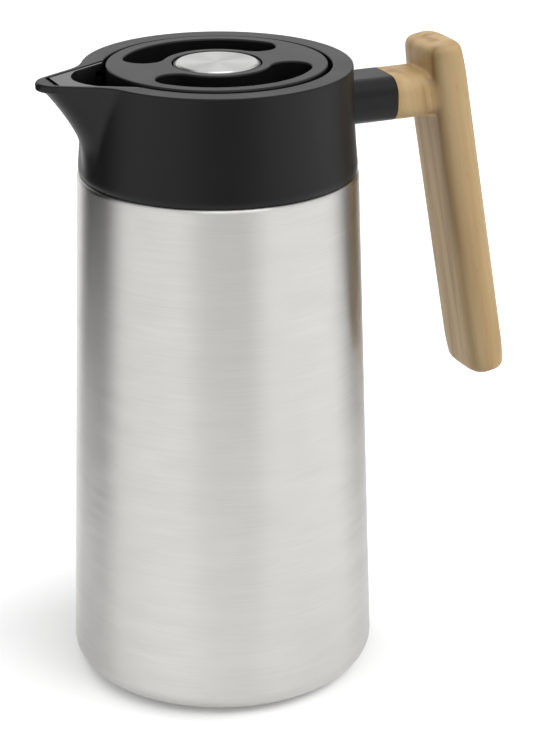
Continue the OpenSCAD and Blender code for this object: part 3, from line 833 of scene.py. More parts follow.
@dataclass
class ArmFit:
    """Sizes that the collar's boss and tenon share with the wooden arm."""

    arm_z: float = 218.0
    arm_w: float = 25.0
    arm_h: float = 17.0
    arm_corner: float = 6.5
    joint_x: float = 67.5
    tenon_len: float = 5.0
    tenon_w: float = 12.0
    tenon_h: float = 9.0
    tenon_corner: float = 2.0


@dataclass
class Collar(ArmFit):
    """Moulded collar: round wall, blended spout, pouring channel and handle boss."""

    mouth_r: float = 41.8
    rim_w: float = 7.65
    flare: float = 1.85
    flare_bend: float = 0.92
    low_z: float = 196.9
    height: float = 39.6
    wall: float = 2.4
    rim_t: float = 2.6
    hem_h: float = 2.9
    hem_in: float = 0.9
    hem_relief: float = 0.5
    edge: float = 0.55

    spout_len: float = 19.35
    half_angle: float = 29.5
    nose_r: float = 7.6
    keel_end_r: float = 10.0
    lip_h: float = 2.1
    lip_under: float = 1.2
    lip_fade: float = 6.5
    lip_edge: float = 1.2
    lip_edge_fade: float = 10.0
    spout_drop: float = 29.5
    keel_sag: float = 2.1
    keel_in: float = 0.5
    blend: float = 4.6
    spout_sector: float = 55.0

    spout_wall: float = 2.4
    channel_apex: float = 73.4
    tray_front: float = 61.8
    tray_tip_depth: float = 0.26
    tray_end_depth: float = 0.28
    tray_ledge: float = 1.5
    tray_edge: float = 0.15
    groove_w: float = 1.8
    groove_depth: float = 1.6
    groove_overlap: float = 0.05
    throat_end: float = 50.0
    throat_bow: float = 5.0
    throat_low_end: float = 47.5
    throat_low_bow: float = 2.0
    throat_floor: float = 214.0
    shelf_z: float = 211.0
    insert_r: float = 43.6
    insert_gap: float = 0.1
    overlap: float = 0.4
    block_spread: float = 5.0
    tray_back_in: float = 7.0
    throat_back_in: float = 6.0

    boss_edge: float = 0.4
    boss_root: float = 2.0
    tenon_root: float = 3.0
    bolt_hole_r: float = 2.75
    bolt_past: float = 9.0
    counterbore_r: float = 5.25
    bolt_seat_x: float = 53.0

    @property
    def rim_z(self) -> float:
        """Height of the flat rim."""
        return self.low_z + self.height

    @property
    def rim_r(self) -> float:
        """Outer radius at the rim."""
        return self.mouth_r + self.rim_w

    @property
    def foot_r(self) -> float:
        """Outer radius above the hem."""
        return self.rim_r + self.flare

    @property
    def reach(self) -> float:
        """Distance of the spout tip from the axis."""
        return self.rim_r + self.spout_len

    def flank(self, z: float) -> float:
        """Outer radius of the round wall at a height, above the hem.

        Args:
            z: The height.

        Returns:
            The radius.
        """
        share = 1 - (z - self.low_z - self.hem_h) / (self.height - self.hem_h)
        bend = self.flare_bend
        return self.rim_r + self.flare * share * (1 - bend + bend * share)

    def keel(self, depth: float) -> float:
        """Distance of the spout's keel from the axis at a depth below the rim.

        Args:
            depth: The depth.

        Returns:
            The distance.
        """
        t = depth / self.spout_drop
        end = self.flank(self.rim_z - self.spout_drop) - self.keel_in
        return self.reach + (end - self.reach) * t - self.keel_sag * 4 * t * (1 - t)

    def wedge(self, angle: float, tip: float, nose: float) -> float:
        """Distance from the axis to a round-nosed wedge.

        Args:
            angle: Angle to the wedge's centre line in degrees.
            tip: Distance of its tip.
            nose: Radius of its nose.

        Returns:
            The distance along that angle.
        """
        half = math.radians(self.half_angle)
        a = math.radians(angle)
        centre = tip - nose
        touch = math.atan2(nose * math.cos(half), centre + nose * math.sin(half))
        if a < touch:
            return centre * math.cos(a) + math.sqrt(nose**2 - (centre * math.sin(a)) ** 2)
        return (centre + nose / math.sin(half)) * math.sin(half) / math.sin(half + a)

    def apex(self, tip: float, nose: float) -> float:
        """Where the sides of a round-nosed wedge would meet."""
        return tip + nose * (1 / math.sin(math.radians(self.half_angle)) - 1)

    def lip(self, depth: float, angle: float) -> float:
        """How far the upright lip stands out over the keel.

        Args:
            depth: Depth below the rim.
            angle: Angle to the spout's centre line in degrees.

        Returns:
            The distance, 0 away from the lip.
        """
        t = max(0.0, min(1.0, (depth - self.lip_h) / self.lip_under))
        fade = max(0.0, 1 - (angle / self.lip_fade) ** 2)
        return (self.reach - self.keel(depth)) * math.sqrt(1 - t * t) * fade

    def rim_edge(self, angle: float) -> float:
        """Radius of the rim's outer edge, larger on the tip of the lip."""
        return self.edge + (self.lip_edge - self.edge) * ease(1 - angle / self.lip_edge_fade)

    def skin_r(self, angle: float, z: float) -> float:
        """Outer radius of the collar with its spout.

        Args:
            angle: Angle to the spout's centre line in degrees, 0 to 180.
            z: Height.

        Returns:
            The radius.
        """
        wall = self.flank(z)
        rise = z - self.low_z
        if rise < self.hem_h:
            t = 1 - rise / self.hem_h
            wall = self.foot_r - self.hem_in * (1 - math.sqrt(1 - t * t))
        depth = self.rim_z - z
        radius = wall
        if angle < self.spout_sector:
            nose = self.nose_r + (self.keel_end_r - self.nose_r) * min(1, depth / self.spout_drop)
            side = self.wedge(angle, self.keel(depth), nose) + self.lip(depth, angle)
            near = max(self.blend - abs(wall - side), 0) / self.blend
            radius = max(wall, side) + near * near * self.blend / 4
        edge = self.rim_edge(angle)
        if depth < edge:
            radius -= edge - math.sqrt(edge**2 - (edge - depth) ** 2)
        return radius

    def angles(self) -> list[float]:
        """Angles of the skin's points from the spout's centre line, close at the spout."""
        near = [0.4 * i for i in range(56)] + [22.4 + 0.8 * i for i in range(36)]
        far = [51.2 + 2.3 * i for i in range(56)]
        half = near + far + [180.0]
        return half + [-a for a in half[-2:0:-1]]

    def levels(self) -> list[float]:
        """Heights of the skin's rings, close at the hem, the lip and the rim."""
        hem = [self.low_z + self.hem_h * (1 - math.cos(math.radians(9 * i))) for i in range(10)]
        start = self.low_z + self.hem_h
        stop = self.rim_z - self.lip_h - self.lip_under
        middle = [start + (stop - start) * i / 44 for i in range(44)]
        under = [
            self.rim_z - self.lip_h - self.lip_under * math.cos(math.radians(10 * i))
            for i in range(10)
        ]
        edge = self.lip_edge
        lip = [self.rim_z - self.lip_h + (self.lip_h - edge) * i / 3 for i in range(1, 3)]
        rim = [self.rim_z - edge * (1 - math.sin(math.radians(7.5 * i))) for i in range(13)]
        return hem + middle + under + lip + rim

    def skin(self) -> Piece:
        """The solid outside form, without its hollows."""
        turns = self.angles()
        rings = []
        for z in self.levels():
            ring = []
            for turn in turns:
                radius = self.skin_r(abs(turn), z)
                a = math.radians(turn)
                ring.append((-radius * math.cos(a), radius * math.sin(a), z))
            rings.append(ring)
        return lofted("pouring_collar", rings)

    def hollow(self) -> Piece:
        """What the mouth and the inside of the wall take away."""
        top = self.rim_z - self.rim_t
        edge = self.edge
        low_r = self.foot_r - self.hem_in - self.wall + self.hem_relief
        return turned(
            "hollow",
            [
                (0.0, self.low_z - 1),
                (low_r, self.low_z - 1),
                (self.foot_r - self.wall, self.low_z + self.hem_h),
                (self.rim_r - self.wall, top),
                (self.mouth_r, top),
                *arc(self.mouth_r + edge, self.rim_z - edge, edge, edge, 180, 90, 6),
                (self.mouth_r + edge, self.rim_z + CUT_PAST),
                (0.0, self.rim_z + CUT_PAST),
            ],
        )

    def throat_block(self) -> Piece:
        """Block that closes the sides of the throat inside the wall."""
        spread = self.half_angle + self.block_spread
        outer = self.rim_r - self.wall + self.overlap
        inner = self.insert_r + self.insert_gap
        plan = arc(0, 0, outer, outer, 180 - spread, 180 + spread, 24)
        plan += arc(0, 0, inner, inner, 180 + spread, 180 - spread, 24)
        top = self.rim_z - self.rim_t + self.overlap
        return upright("throat block", plan, self.shelf_z, top)

    def channel(self, front: float, back: float, offset: float = 0.0) -> list[Point]:
        """Outline of a slice of the pouring channel seen from above.

        Args:
            front: Distance of its front edge from the axis.
            back: Distance of its back edge from the axis.
            offset: How far the front and the sides are moved out.

        Returns:
            The four corners.
        """
        half = math.radians(self.half_angle)
        apex = self.channel_apex + offset / math.sin(half)
        near, far = (apex - back) * math.tan(half), (apex - front - offset) * math.tan(half)
        return [(-back, near), (-front - offset, far), (-front - offset, -far), (-back, -near)]

    def tray(self) -> Piece:
        """Cutter of the shallow tray behind the lip, with a rounded upper edge."""
        back = self.mouth_r - self.tray_back_in
        slope = (self.tray_end_depth - self.tray_tip_depth) / (self.tray_front - self.throat_end)
        low = [
            (x, y, self.rim_z - self.tray_tip_depth - slope * (self.tray_front + x))
            for x, y in self.channel(self.tray_front, back)
        ]
        upper = risen(
            lambda offset: self.channel(self.tray_front, back, offset),
            [*rounded_edge(self.rim_z, self.tray_edge), (self.rim_z + CUT_PAST, self.tray_edge)],
        )
        return lofted("tray", [low, *upper])

    def in_channel(self, place: Vector) -> bool:
        """Whether a point in millimetres lies on the polished skin of the tray.

        Args:
            place: The point.

        Returns:
            Whether it does.
        """
        least, slack, side_slack = 0.02, 0.1, 0.6
        depth = self.rim_z - place.z
        side = (self.channel_apex + place.x) * math.tan(math.radians(self.half_angle))
        return (
            least < depth < self.tray_end_depth + slack
            and -self.tray_front - slack < place.x < -self.insert_r
            and abs(place.y) < side + side_slack
        )

    def groove(self) -> Piece:
        """Cutter of the narrow drip groove between the tray and the lip."""
        plan = self.channel(
            self.tray_front + self.groove_w, self.tray_front - self.groove_overlap
        )
        return upright("groove", plan, self.rim_z - self.groove_depth, self.rim_z + CUT_PAST)

    def throat(self) -> Piece:
        """Cutter of the steep throat between the tray and the insert, with a bowed front."""
        half = math.radians(self.half_angle)
        deep = self.rim_z - self.throat_floor
        nose = self.nose_r + (self.keel_end_r - self.nose_r) * deep / self.spout_drop
        deep_apex = self.apex(self.keel(deep), nose) - self.spout_wall / math.sin(half)
        top_apex = self.channel_apex - self.tray_ledge / math.sin(half)
        back = self.mouth_r - self.throat_back_in
        rings = []
        for z in (self.throat_floor, self.rim_z - self.tray_end_depth, self.rim_z + CUT_PAST):
            share = (self.rim_z - z - self.tray_end_depth) / (deep - self.tray_end_depth)
            share = max(0.0, share)
            tip = top_apex + (deep_apex - top_apex) * share
            end = self.throat_end + (self.throat_low_end - self.throat_end) * share
            bow = self.throat_bow + (self.throat_low_bow - self.throat_bow) * share
            front, rear = (tip - end) * math.tan(half), (tip - back) * math.tan(half)
            bowed = [(-end - bow * (1 - (i / 6) ** 2), -front * i / 6, z) for i in range(-6, 7)]
            rings.append([(-back, rear, z), *bowed, (-back, -rear, z)])
        return lofted("throat", rings)

    def boss(self) -> Piece:
        """Boss that meets the wooden arm, with a rounded edge round its end."""
        stations = [(self.mouth_r + self.boss_root, 0.0)]
        stations += rounded_edge(self.joint_x, self.boss_edge, 30)
        rings = []
        for x, inset in stations:
            width, height = self.arm_w - 2 * inset, self.arm_h - 2 * inset
            plan = round_rect(width, height, self.arm_corner - inset)
            rings.append([(x, y, self.arm_z + z) for y, z in plan])
        return lofted("boss", rings)

    def tenon(self) -> Piece:
        """Tenon on the boss, which sits in the wood."""
        plan = round_rect(self.tenon_w, self.tenon_h, self.tenon_corner)
        start, end = self.joint_x - self.tenon_root, self.joint_x + self.tenon_len
        return bar("tenon", plan, self.arm_z, start, end)

    def bore(self, radius: float, end: float) -> Piece:
        """Round cutter from the mouth along the handle's bolt."""
        plan = arc(0, 0, radius, radius, 0, 354.375, 63)
        return bar("bore", plan, self.arm_z, self.mouth_r, end)

    def build(self) -> None:
        """Make and dress the collar."""
        collar = self.skin()
        carve(collar, self.boss(), "UNION")
        carve(collar, self.tenon(), "UNION")
        carve(collar, self.hollow())
        carve(collar, self.throat_block(), "UNION")
        for cutter in (self.tray, self.groove, self.throat):
            carve(collar, cutter())
        carve(collar, self.bore(self.bolt_hole_r, self.joint_x + self.bolt_past))
        carve(collar, self.bore(self.counterbore_r, self.bolt_seat_x))
        polish(collar)
        dress(collar, BLACK_POLYMER, Body.CARAFE, "collar")
        collar.data.materials.append(POLISHED_POLYMER.material())
        for face in collar.data.polygons:
            face.material_index = int(self.in_channel(face.center / MM))


# Handle ---------------------------------------------------------------------------


@dataclass
class Handle(ArmFit):
    """Wooden T handle: a leaning grip and the arm that carries it, in one piece."""

    arm_len: float = 23.2
    arm_root: float = 6.0
    grip_len: float = 135.6
    grip_w: float = 27.9
    grip_d: float = 14.7
    squareness: float = 5.0
    end_squareness: float = 3.4
    end_blend: float = 12.0
    end_round: float = 2.9
    grip_head: float = 18.9
    lean: float = 9.8
    voxel: float = 0.55
    ease_steps: int = 12
    end_cut: float = 12.0
    end_cut_w: float = 40.0
    tenon_clear: float = 0.15
    tenon_play: float = 0.2
    bore_r: float = 4.0
    bore_len: float = 16.5
    crease_deg: float = 50.0

    def axis_point(self, along: float, across: float, side: float) -> Point3:
        """Place a point of the leaning grip.

        Args:
            along: Distance along the grip from its middle.
            across: Distance along its thickness.
            side: Distance along its width.

        Returns:
            The point in the part's frame.
        """
        a = math.radians(self.lean)
        mid_z = self.arm_z + self.grip_head - self.grip_len / 2 * math.cos(a)
        mid_x = self.joint_x + self.arm_len + (self.arm_z - mid_z) * math.tan(a)
        x = mid_x + across * math.cos(a) - along * math.sin(a)
        return (x, side, mid_z + across * math.sin(a) + along * math.cos(a))

    def section(self, inset: float, squareness: float) -> list[Point]:
        """Pillowed section of the grip, moved in by an inset.

        Args:
            inset: Distance from the section's own outline.
            squareness: Power of the superellipse, 2 for an ellipse.

        Returns:
            Points along the thickness and the width.
        """
        power = 2 / squareness
        points: list[Point] = []
        for i in range(72):
            c, s = math.cos(math.tau * i / 72), math.sin(math.tau * i / 72)
            u = math.copysign(abs(c) ** power, c) * (self.grip_d / 2 - inset)
            v = math.copysign(abs(s) ** power, s) * (self.grip_w / 2 - inset)
            points.append((u, v))
        return points

    def grip(self) -> Piece:
        """The grip by itself, with rounded ends."""
        ends = [self.end_round * (1 - math.cos(math.radians(9 * i))) for i in range(11)]
        ends += [self.end_round + (self.end_blend - self.end_round) * i / 8 for i in range(1, 9)]
        stations = ends + [self.grip_len - s for s in reversed(ends)]
        rings = []
        for s in stations:
            near = min(s, self.grip_len - s)
            gap = max(0.0, self.end_round - near)
            inset = self.end_round - math.sqrt(max(0.0, self.end_round**2 - gap * gap))
            share = ease(near / self.end_blend)
            square = self.end_squareness + (self.squareness - self.end_squareness) * share
            plan = self.section(inset, square)
            rings.append([self.axis_point(s - self.grip_len / 2, u, v) for u, v in plan])
        return lofted("wooden_handle", rings)

    def build(self) -> None:
        """Make and dress the handle."""
        handle = self.grip()
        plan = round_rect(self.arm_w, self.arm_h, self.arm_corner)
        start, end = self.joint_x - self.arm_root, self.joint_x + self.arm_len
        carve(handle, bar("arm", plan, self.arm_z, start, end), "UNION")
        remesh = handle.modifiers.new("even skin", "REMESH")
        remesh.mode = "VOXEL"
        remesh.voxel_size = self.voxel * MM
        sanded = handle.modifiers.new("sanded edges", "SMOOTH")
        sanded.factor = 0.5
        sanded.iterations = self.ease_steps
        bake_modifiers(handle)
        clear = self.tenon_clear
        hole = (self.tenon_w + 2 * clear, self.tenon_h + 2 * clear, self.tenon_corner + clear)
        cuts = (
            ("end cut", round_rect(self.end_cut_w, self.end_cut_w, 1.0, 2), -self.end_cut, 0.0),
            ("tenon hole", round_rect(*hole, 4), -1.0, self.tenon_len + self.tenon_play),
            ("bore", arc(0, 0, self.bore_r, self.bore_r, 0, 350, 35), 0.0, self.bore_len),
        )
        for name, plan, near, far in cuts:
            carve(handle, bar(name, plan, self.arm_z, self.joint_x + near, self.joint_x + far))
        polish(handle, self.crease_deg)
        dress(handle, BEECH, Body.CARAFE, "handle_grip")


# Stopper --------------------------------------------------------------------------


@dataclass
class Stopper:
    """Stopper cap with two kidney-shaped finger recesses round the button's hub."""

    rim_z: float = 236.5
    cap_r: float = 40.2
    proud: float = 0.5
    plate_t: float = 2.5
    wall: float = 1.6
    recess_depth: float = 12.0
    recess_w: float = 15.0
    recess_half_angle: float = 53.8
    recess_r: float = 27.5
    edge: float = 0.8
    recess_edge: float = 0.7
    recess_floor_round: float = 2.2
    hub_r: float = 16.4
    hub_edge: float = 0.5
    hub_drop: float = 9.0
    hub_floor_t: float = 4.0
    rod_hole_r: float = 3.06
    seal_r: float = 6.2
    seal_h: float = 2.0
    cup_overlap: float = 1.0

    @property
    def top(self) -> float:
        """Height of the cap's top face."""
        return self.rim_z + self.proud

    @property
    def bottom(self) -> float:
        """Height of the cap's underside."""
        return self.top - self.recess_depth - self.wall

    def kidney(self, side: int, offset: float) -> list[Point]:
        """Outline of one recess, moved out by an offset.

        Args:
            side: 1 for the +Y side and -1 for the -Y side.
            offset: Distance from the recess's own outline.

        Returns:
            The outline's points.
        """
        mean, half = self.recess_r, self.recess_w / 2 + offset
        low, high = 90.0 * side - self.recess_half_angle, 90.0 * side + self.recess_half_angle

        def end(turn: float, start: float) -> list[Point]:
            """Half round at one end of the recess."""
            a = math.radians(turn)
            return arc(mean * math.cos(a), mean * math.sin(a), half, half, start, start + 180, 24)

        outer = arc(0, 0, mean + half, mean + half, low, high, 60)
        inner = arc(0, 0, mean - half, mean - half, high, low, 48)
        return outer[:-1] + end(high, high)[:-1] + inner[:-1] + end(low, low + 180)[:-1]

    def recess(self, side: int) -> Piece:
        """Cutter of one recess, with a filleted floor and a rounded upper edge.

        Args:
            side: 1 for the +Y side and -1 for the -Y side.

        Returns:
            The closed cutter.
        """
        floor = self.top - self.recess_depth
        fillet = rounded_edge(0.0, self.recess_floor_round)
        levels = [(floor + rise, inward) for inward, rise in fillet]
        levels += rounded_edge(self.top, self.recess_edge)
        levels.append((self.top + CUT_PAST, self.recess_edge))
        return lofted("recess", risen(lambda offset: self.kidney(side, offset), levels))

    def build(self) -> None:
        """Make and dress the cap."""
        plate_z = self.top - self.plate_t
        hub_low = self.bottom - self.hub_drop - self.hub_floor_t
        hub_floor = self.bottom - self.hub_drop
        edge, hub_edge = self.edge, self.hub_edge
        cap = turned(
            "stopper_cap_body",
            [
                *arc(self.hub_r + hub_edge, self.top - hub_edge, hub_edge, hub_edge, 90, 180, 6),
                (self.hub_r, hub_floor),
                (self.rod_hole_r, hub_floor),
                (self.rod_hole_r, hub_low + self.seal_h),
                (self.seal_r, hub_low + self.seal_h),
                (self.seal_r, hub_low),
                (self.hub_r + self.wall, hub_low),
                (self.hub_r + self.wall, plate_z),
                (self.cap_r - self.wall, plate_z),
                (self.cap_r - self.wall, self.bottom),
                (self.cap_r, self.bottom),
                *arc(self.cap_r - edge, self.top - edge, edge, edge, 0, 90, 8),
            ],
        )
        for side in (1, -1):
            cup = self.kidney(side, self.wall)
            carve(cap, upright("cup", cup, self.bottom, plate_z + self.cup_overlap), "UNION")
            carve(cap, self.recess(side))
        polish(cap)
        dress(cap, BLACK_POLYMER, Body.STOPPER, "stopper_cap")


@dataclass
class Button:
    """Push button and the steel disc set in its top."""

    top: float = 236.6
    button_r: float = 15.9
    wall: float = 1.6
    ceiling: float = 234.6
    skirt_z: float = 222.4
    boss_r: float = 5.4
    boss_len: float = 8.0
    rod_r: float = 3.0
    edge: float = 0.3
    disc_r: float = 15.1
    disc_t: float = 0.6
    disc_bevel: float = 0.5

    def build(self) -> None:
        """Make and dress the button and its disc."""
        edge, inner_r = self.edge, self.button_r - self.wall
        button = turned(
            "button_body",
            [
                (0.0, self.ceiling),
                (self.rod_r, self.ceiling),
                (self.rod_r, self.ceiling - self.boss_len),
                (self.boss_r, self.ceiling - self.boss_len),
                (self.boss_r, self.ceiling),
                (inner_r, self.ceiling),
                (inner_r, self.skirt_z),
                (self.button_r, self.skirt_z),
                *arc(self.button_r - edge, self.top - edge, edge, edge, 0, 90, 4),
                (0.0, self.top),
            ],
        )
        polish(button)
        dress(button, BLACK_POLYMER, Body.BUTTON, "push_button")
        bevel = self.disc_bevel
        face = self.top + self.disc_t
        disc = turned(
            "button_steel_disc",
            [
                (0.0, self.top),
                (self.disc_r, self.top),
                (self.disc_r, face - bevel),
                (self.disc_r - bevel, face),
                (0.0, face),
            ],
        )
        polish(disc, 30.0)
        dress(disc, DISC_STEEL, Body.BUTTON, "button_disc")


@dataclass
class Spring:
    """Coil spring under the button, which shortens as the button goes down."""

    low: float = 214.4
    high: float = 234.6
    coil_r: float = 9.0
    wire_r: float = 0.7
    turns: int = 6
    travel: float = 5.0

    def build(self) -> None:
        """Make and dress the spring."""
        per_turn, sides = 36, 10
        start, stop = self.low + self.wire_r, self.high - self.wire_r
        rings = []
        for i in range(self.turns * per_turn + 1):
            a = math.tau * i / per_turn
            z = start + (stop - start) * i / (self.turns * per_turn)
            wire = arc(self.coil_r, z, self.wire_r, self.wire_r, 0, 360, sides)[:-1]
            rings.append([(r * math.cos(a), r * math.sin(a), h) for r, h in wire])
        spring = lofted("button_coil", rings)
        polish(spring, 60.0)
        dress(spring, SCREW_STEEL, Body.STOPPER, "button_spring")
        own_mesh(spring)


# The other nodes ------------------------------------------------------------------


def dress_inner_nodes(frame: Mapping[str, Any]) -> None:
    """Give each node that keeps its own mesh the finish of its slot.
    """
    slots = {row["node"]: row["material_slot"] for row in frame["record"]["subparts"]}
    for name, piece in frame["nodes"].items():
        if piece.hide_render:
            continue
        finish = FINISHES[slots[name]]
        if not piece.material_slots:
            piece.data.materials.append(None)
        for place in piece.material_slots:
            place.material = finish.material()
        LOG.info("%s: own mesh, %s", name, finish.name)


# Studio ---------------------------------------------------------------------------


@dataclass
class Camera:
    """Camera at the photograph's viewing angle."""

    distance: float = 845.925
    height: float = 452.776
    pitch: float = 21.1218
    yaw: float = 2.3366
    roll: float = 0.2327
    focal_px: float = 2397.167
    long_side_px: float = 753.0
    centre_off_px: Point = (44.302, -28.21)
    sensor: float = 36.0

    def build(self) -> None:
        """Make the camera and make it the scene's."""
        pitch, yaw, roll = (math.radians(a) for a in (self.pitch, self.yaw, self.roll))
        forward = Vector(
            (math.sin(yaw) * math.cos(pitch), math.cos(yaw) * math.cos(pitch), -math.sin(pitch))
        )
        right = Vector((math.cos(yaw), -math.sin(yaw), 0.0))
        up = right.cross(forward)
        tilted = right * math.cos(roll) + up * math.sin(roll)
        upright = up * math.cos(roll) - right * math.sin(roll)
        pose = Matrix((tilted, upright, -forward)).transposed().to_4x4()
        pose.translation = Vector((0.0, -self.distance, self.height)) * MM
        data = bpy.data.cameras.new("photo view")
        data.sensor_width = self.sensor
        data.lens = self.focal_px * self.sensor / self.long_side_px
        data.shift_x = -self.centre_off_px[0] / self.long_side_px
        data.shift_y = self.centre_off_px[1] / self.long_side_px
        data.clip_start, data.clip_end = 0.05, 20.0
        camera = placed("photo view", data)
        camera.matrix_world = Matrix.Rotation(math.radians(-CAMERA_TURN), 4, "Z") @ pose
        bpy.context.scene.camera = camera


@dataclass(frozen=True)
class Card:
    """Bent card that only mirror rays see, dark in its middle and faded at its edges.

    Attributes:
        name: Name of the card.
        azimuth: Place round the object, from the camera to the picture's right.
        width: Angle from one half-faded edge to the other.
        fade: Angle over which an edge fades.
        distance: Distance from the object's axis.
        height: Height of its half-faded upper edge.
        top_fade: Height over which the upper edge fades.
        shade: sRGB colour of its middle.
    """

    name: str
    azimuth: float
    width: float
    fade: float
    distance: float
    height: float
    top_fade: float
    shade: str

    def cover(self, off: float, height: float) -> float:
        """How much of the light behind it the card hides at a point.

        Args:
            off: Angle from its middle.
            height: Height of the point.

        Returns:
            The share, 0 to 1.
        """
        side = ease((self.width / 2 - abs(off)) / self.fade + 0.5)
        return side * ease((self.height - height) / self.top_fade + 0.5)

    def build(self, toward: Callable[[float], Vector]) -> None:
        """Make the card.

        Args:
            toward: Gives the direction of an azimuth.
        """
        columns, rows = 48, 30
        half = (self.width + self.fade) / 2
        top = self.height + self.top_fade / 2
        verts: list[Point3] = []
        covers: list[float] = []
        for row in range(rows + 1):
            for column in range(columns + 1):
                off = half * (2 * column / columns - 1)
                place = toward(self.azimuth + off) * self.distance
                height = top * row / rows
                verts.append((place.x, place.y, height))
                covers.append(self.cover(off, height))
        wide = columns + 1
        faces = [
            (row * wide + i, row * wide + i + 1, (row + 1) * wide + i + 1, (row + 1) * wide + i)
            for row in range(rows)
            for i in range(columns)
        ]
        card = new_object(self.name, verts, faces)
        share = card.data.attributes.new("cover", "FLOAT", "POINT")
        share.data.foreach_set("value", covers)
        made = bpy.data.materials.new("Matt paper, " + self.name)
        tree = empty_tree(made)
        seen = add_node(tree, "Attribute", attribute_name="cover").outputs["Fac"]
        paper = add_node(tree, "Emission", {"Color": srgb(self.shade), "Strength": 1.0})
        clear = add_node(tree, "BsdfTransparent")
        shaders = {0: seen, 1: clear.outputs[0], 2: paper.outputs[0]}
        mixed = add_node(tree, "MixShader", shaders)
        add_node(tree, "OutputMaterial", {"Surface": mixed.outputs[0]})
        card.data.materials.append(made)
        for kind in ("camera", "diffuse", "shadow", "transmission"):
            setattr(card, "visible_" + kind, False)


@dataclass(frozen=True)
class Softbox:
    """Large square soft lamp that faces the object.

    Attributes:
        name: Name of the lamp.
        azimuth: Place round the object, from the camera to the picture's right.
        elevation: Angle above the horizon.
        size: Side of the square.
        radiance: Brightness of its face, where 1 is white.
        mirrored: Whether steel and polymer show it as a highlight.
        distance: Distance from the object.
        aim_z: Height of the point that it faces.
    """

    name: str
    azimuth: float
    elevation: float
    size: float
    radiance: float
    mirrored: bool
    distance: float = 3000.0
    aim_z: float = 120.0

    def build(self, toward: Callable[[float, float], Vector]) -> None:
        """Make the lamp.

        Args:
            toward: Gives the direction of an azimuth and an elevation.
        """
        data = bpy.data.lights.new(self.name, "AREA")
        data.shape = "SQUARE"
        data.size = self.size * MM
        data.energy = self.radiance * math.pi * data.size**2
        lamp = placed(self.name, data)
        way = toward(self.azimuth, self.elevation)
        lamp.location = way * self.distance * MM + Vector((0.0, 0.0, self.aim_z * MM))
        lamp.rotation_euler = way.to_track_quat("Z", "Y").to_euler()
        lamp.visible_glossy = self.mirrored


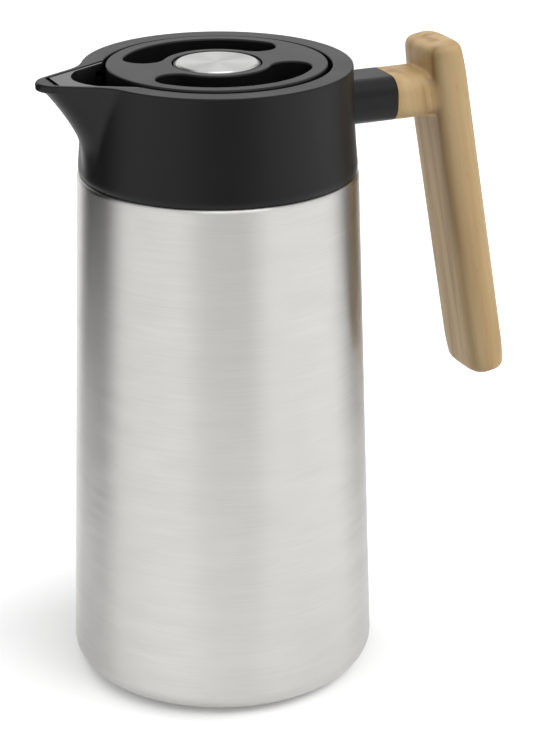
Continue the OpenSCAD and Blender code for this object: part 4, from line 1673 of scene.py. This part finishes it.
@dataclass
class Studio:
    """White sweep, soft lamps and the dark flags that the steel reflects."""

    floor_half: float = 6000.0
    floor_colour: str = "#F2F2F2"
    # Glow of the floor near the foot and far from it; the lower glow near the foot is painted
    # shade.
    near_glow: float = 0.15
    far_glow: float = 0.36
    glow_span: Point = (60.0, 110.0)
    sky_light: float = 0.27
    cards: tuple[Card, ...] = (
        Card("left_card", -110.0, 47.7, 28.0, 432.0, 898.0, 178.0, "#000000"),
        Card("right_card", 130.0, 41.0, 38.0, 395.0, 367.0, 123.0, "#606060"),
        Card("front_card", 7.7, 47.8, 32.0, 390.0, 413.0, 82.0, "#BCBCBC"),
    )
    lamps: tuple[Softbox, ...] = (
        Softbox("key softbox", 62.0, 44.0, 1800.0, 2.4, False),
        Softbox("side softbox", 95.0, 42.0, 1800.0, 2.8, False),
        Softbox("fill softbox", -60.0, 50.0, 1800.0, 1.2, False),
        Softbox("back softbox", -135.0, 48.0, 1800.0, 2.4, False),
        Softbox("top softbox", 20.0, 62.0, 2400.0, 1.5, True),
    )

    def toward(self, azimuth: float, elevation: float = 0.0) -> Vector:
        """Unit direction from the axis, by its azimuth from the camera to the right.

        Args:
            azimuth: Angle from the camera's side towards the picture's right, degrees.
            elevation: Angle above the horizon in degrees.

        Returns:
            The direction.
        """
        a = math.radians(azimuth - 90.0 - CAMERA_TURN)
        e = math.radians(elevation)
        return Vector((math.cos(a) * math.cos(e), math.sin(a) * math.cos(e), math.sin(e)))

    def backdrop_share(self, tree: Tree) -> Socket:
        """1 for rays from the camera, a mirror or glass, and 0 for the others.

        Args:
            tree: The tree that gets the nodes.

        Returns:
            The share.
        """
        rays = add_node(tree, "LightPath").outputs
        seen = reckon(tree, "MAXIMUM", rays["Is Camera Ray"], rays["Is Glossy Ray"])
        return reckon(tree, "MAXIMUM", seen, rays["Is Transmission Ray"])

    def build_world(self) -> None:
        """White surroundings, at full white only where they are seen."""
        world = bpy.data.worlds.new("white room")
        tree = empty_tree(world)
        inputs = {"Value": self.backdrop_share(tree), "To Min": self.sky_light, "To Max": 1.0}
        level = add_node(tree, "MapRange", inputs).outputs[0]
        sky = add_node(tree, "Background", {"Color": srgb("#FFFFFF"), "Strength": level})
        add_node(tree, "OutputWorld", {"Surface": sky.outputs[0]})
        bpy.context.scene.world = world

    def build_floor(self) -> None:
        """Pale floor that reads as white, with less glow near the foot, which paints shade round
        the foot and deepens its shadow.
        """
        half = self.floor_half
        corners = [(x * half, y * half, 0.0) for x, y in ((-1, -1), (1, -1), (1, 1), (-1, 1))]
        floor = new_object("floor", corners, [(0, 1, 2, 3)])
        made = bpy.data.materials.new("Painted sweep, matt")
        tree = empty_tree(made)
        place = add_node(tree, "TexCoord").outputs["Object"]
        inputs = {
            "Value": reckon(tree, "LENGTH", place, kind="VectorMath"),
            "From Min": self.glow_span[0] * MM,
            "From Max": self.glow_span[1] * MM,
            "To Min": self.near_glow,
            "To Max": self.far_glow,
        }
        level = add_node(tree, "MapRange", inputs).outputs[0]
        glow = reckon(tree, "MULTIPLY", self.backdrop_share(tree), level)
        paint = add_node(tree, "BsdfDiffuse", {"Color": srgb(self.floor_colour)})
        shine = add_node(tree, "Emission", {"Color": srgb("#FFFFFF"), "Strength": glow})
        both = add_node(tree, "AddShader", {0: paint.outputs[0], 1: shine.outputs[0]})
        add_node(tree, "OutputMaterial", {"Surface": both.outputs[0]})
        floor.data.materials.append(made)

    def build(self) -> None:
        """Set up the whole studio."""
        bpy.context.scene.view_settings.view_transform = "Standard"
        self.build_world()
        self.build_floor()
        for card in self.cards:
            card.build(self.toward)
        for lamp in self.lamps:
            lamp.build(self.toward)


def main() -> None:
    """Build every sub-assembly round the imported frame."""
    logging.basicConfig(level=logging.INFO, format="%(name)s %(message)s")
    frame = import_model()
    Camera().build()
    for part in (Flask(), Collar(), Handle(), Stopper(), Button(), Spring()):
        part.build()
        LOG.info("%s is built", type(part).__name__)
    dress_inner_nodes(frame)
    Studio().build()


if __name__ == "__main__":
    main()
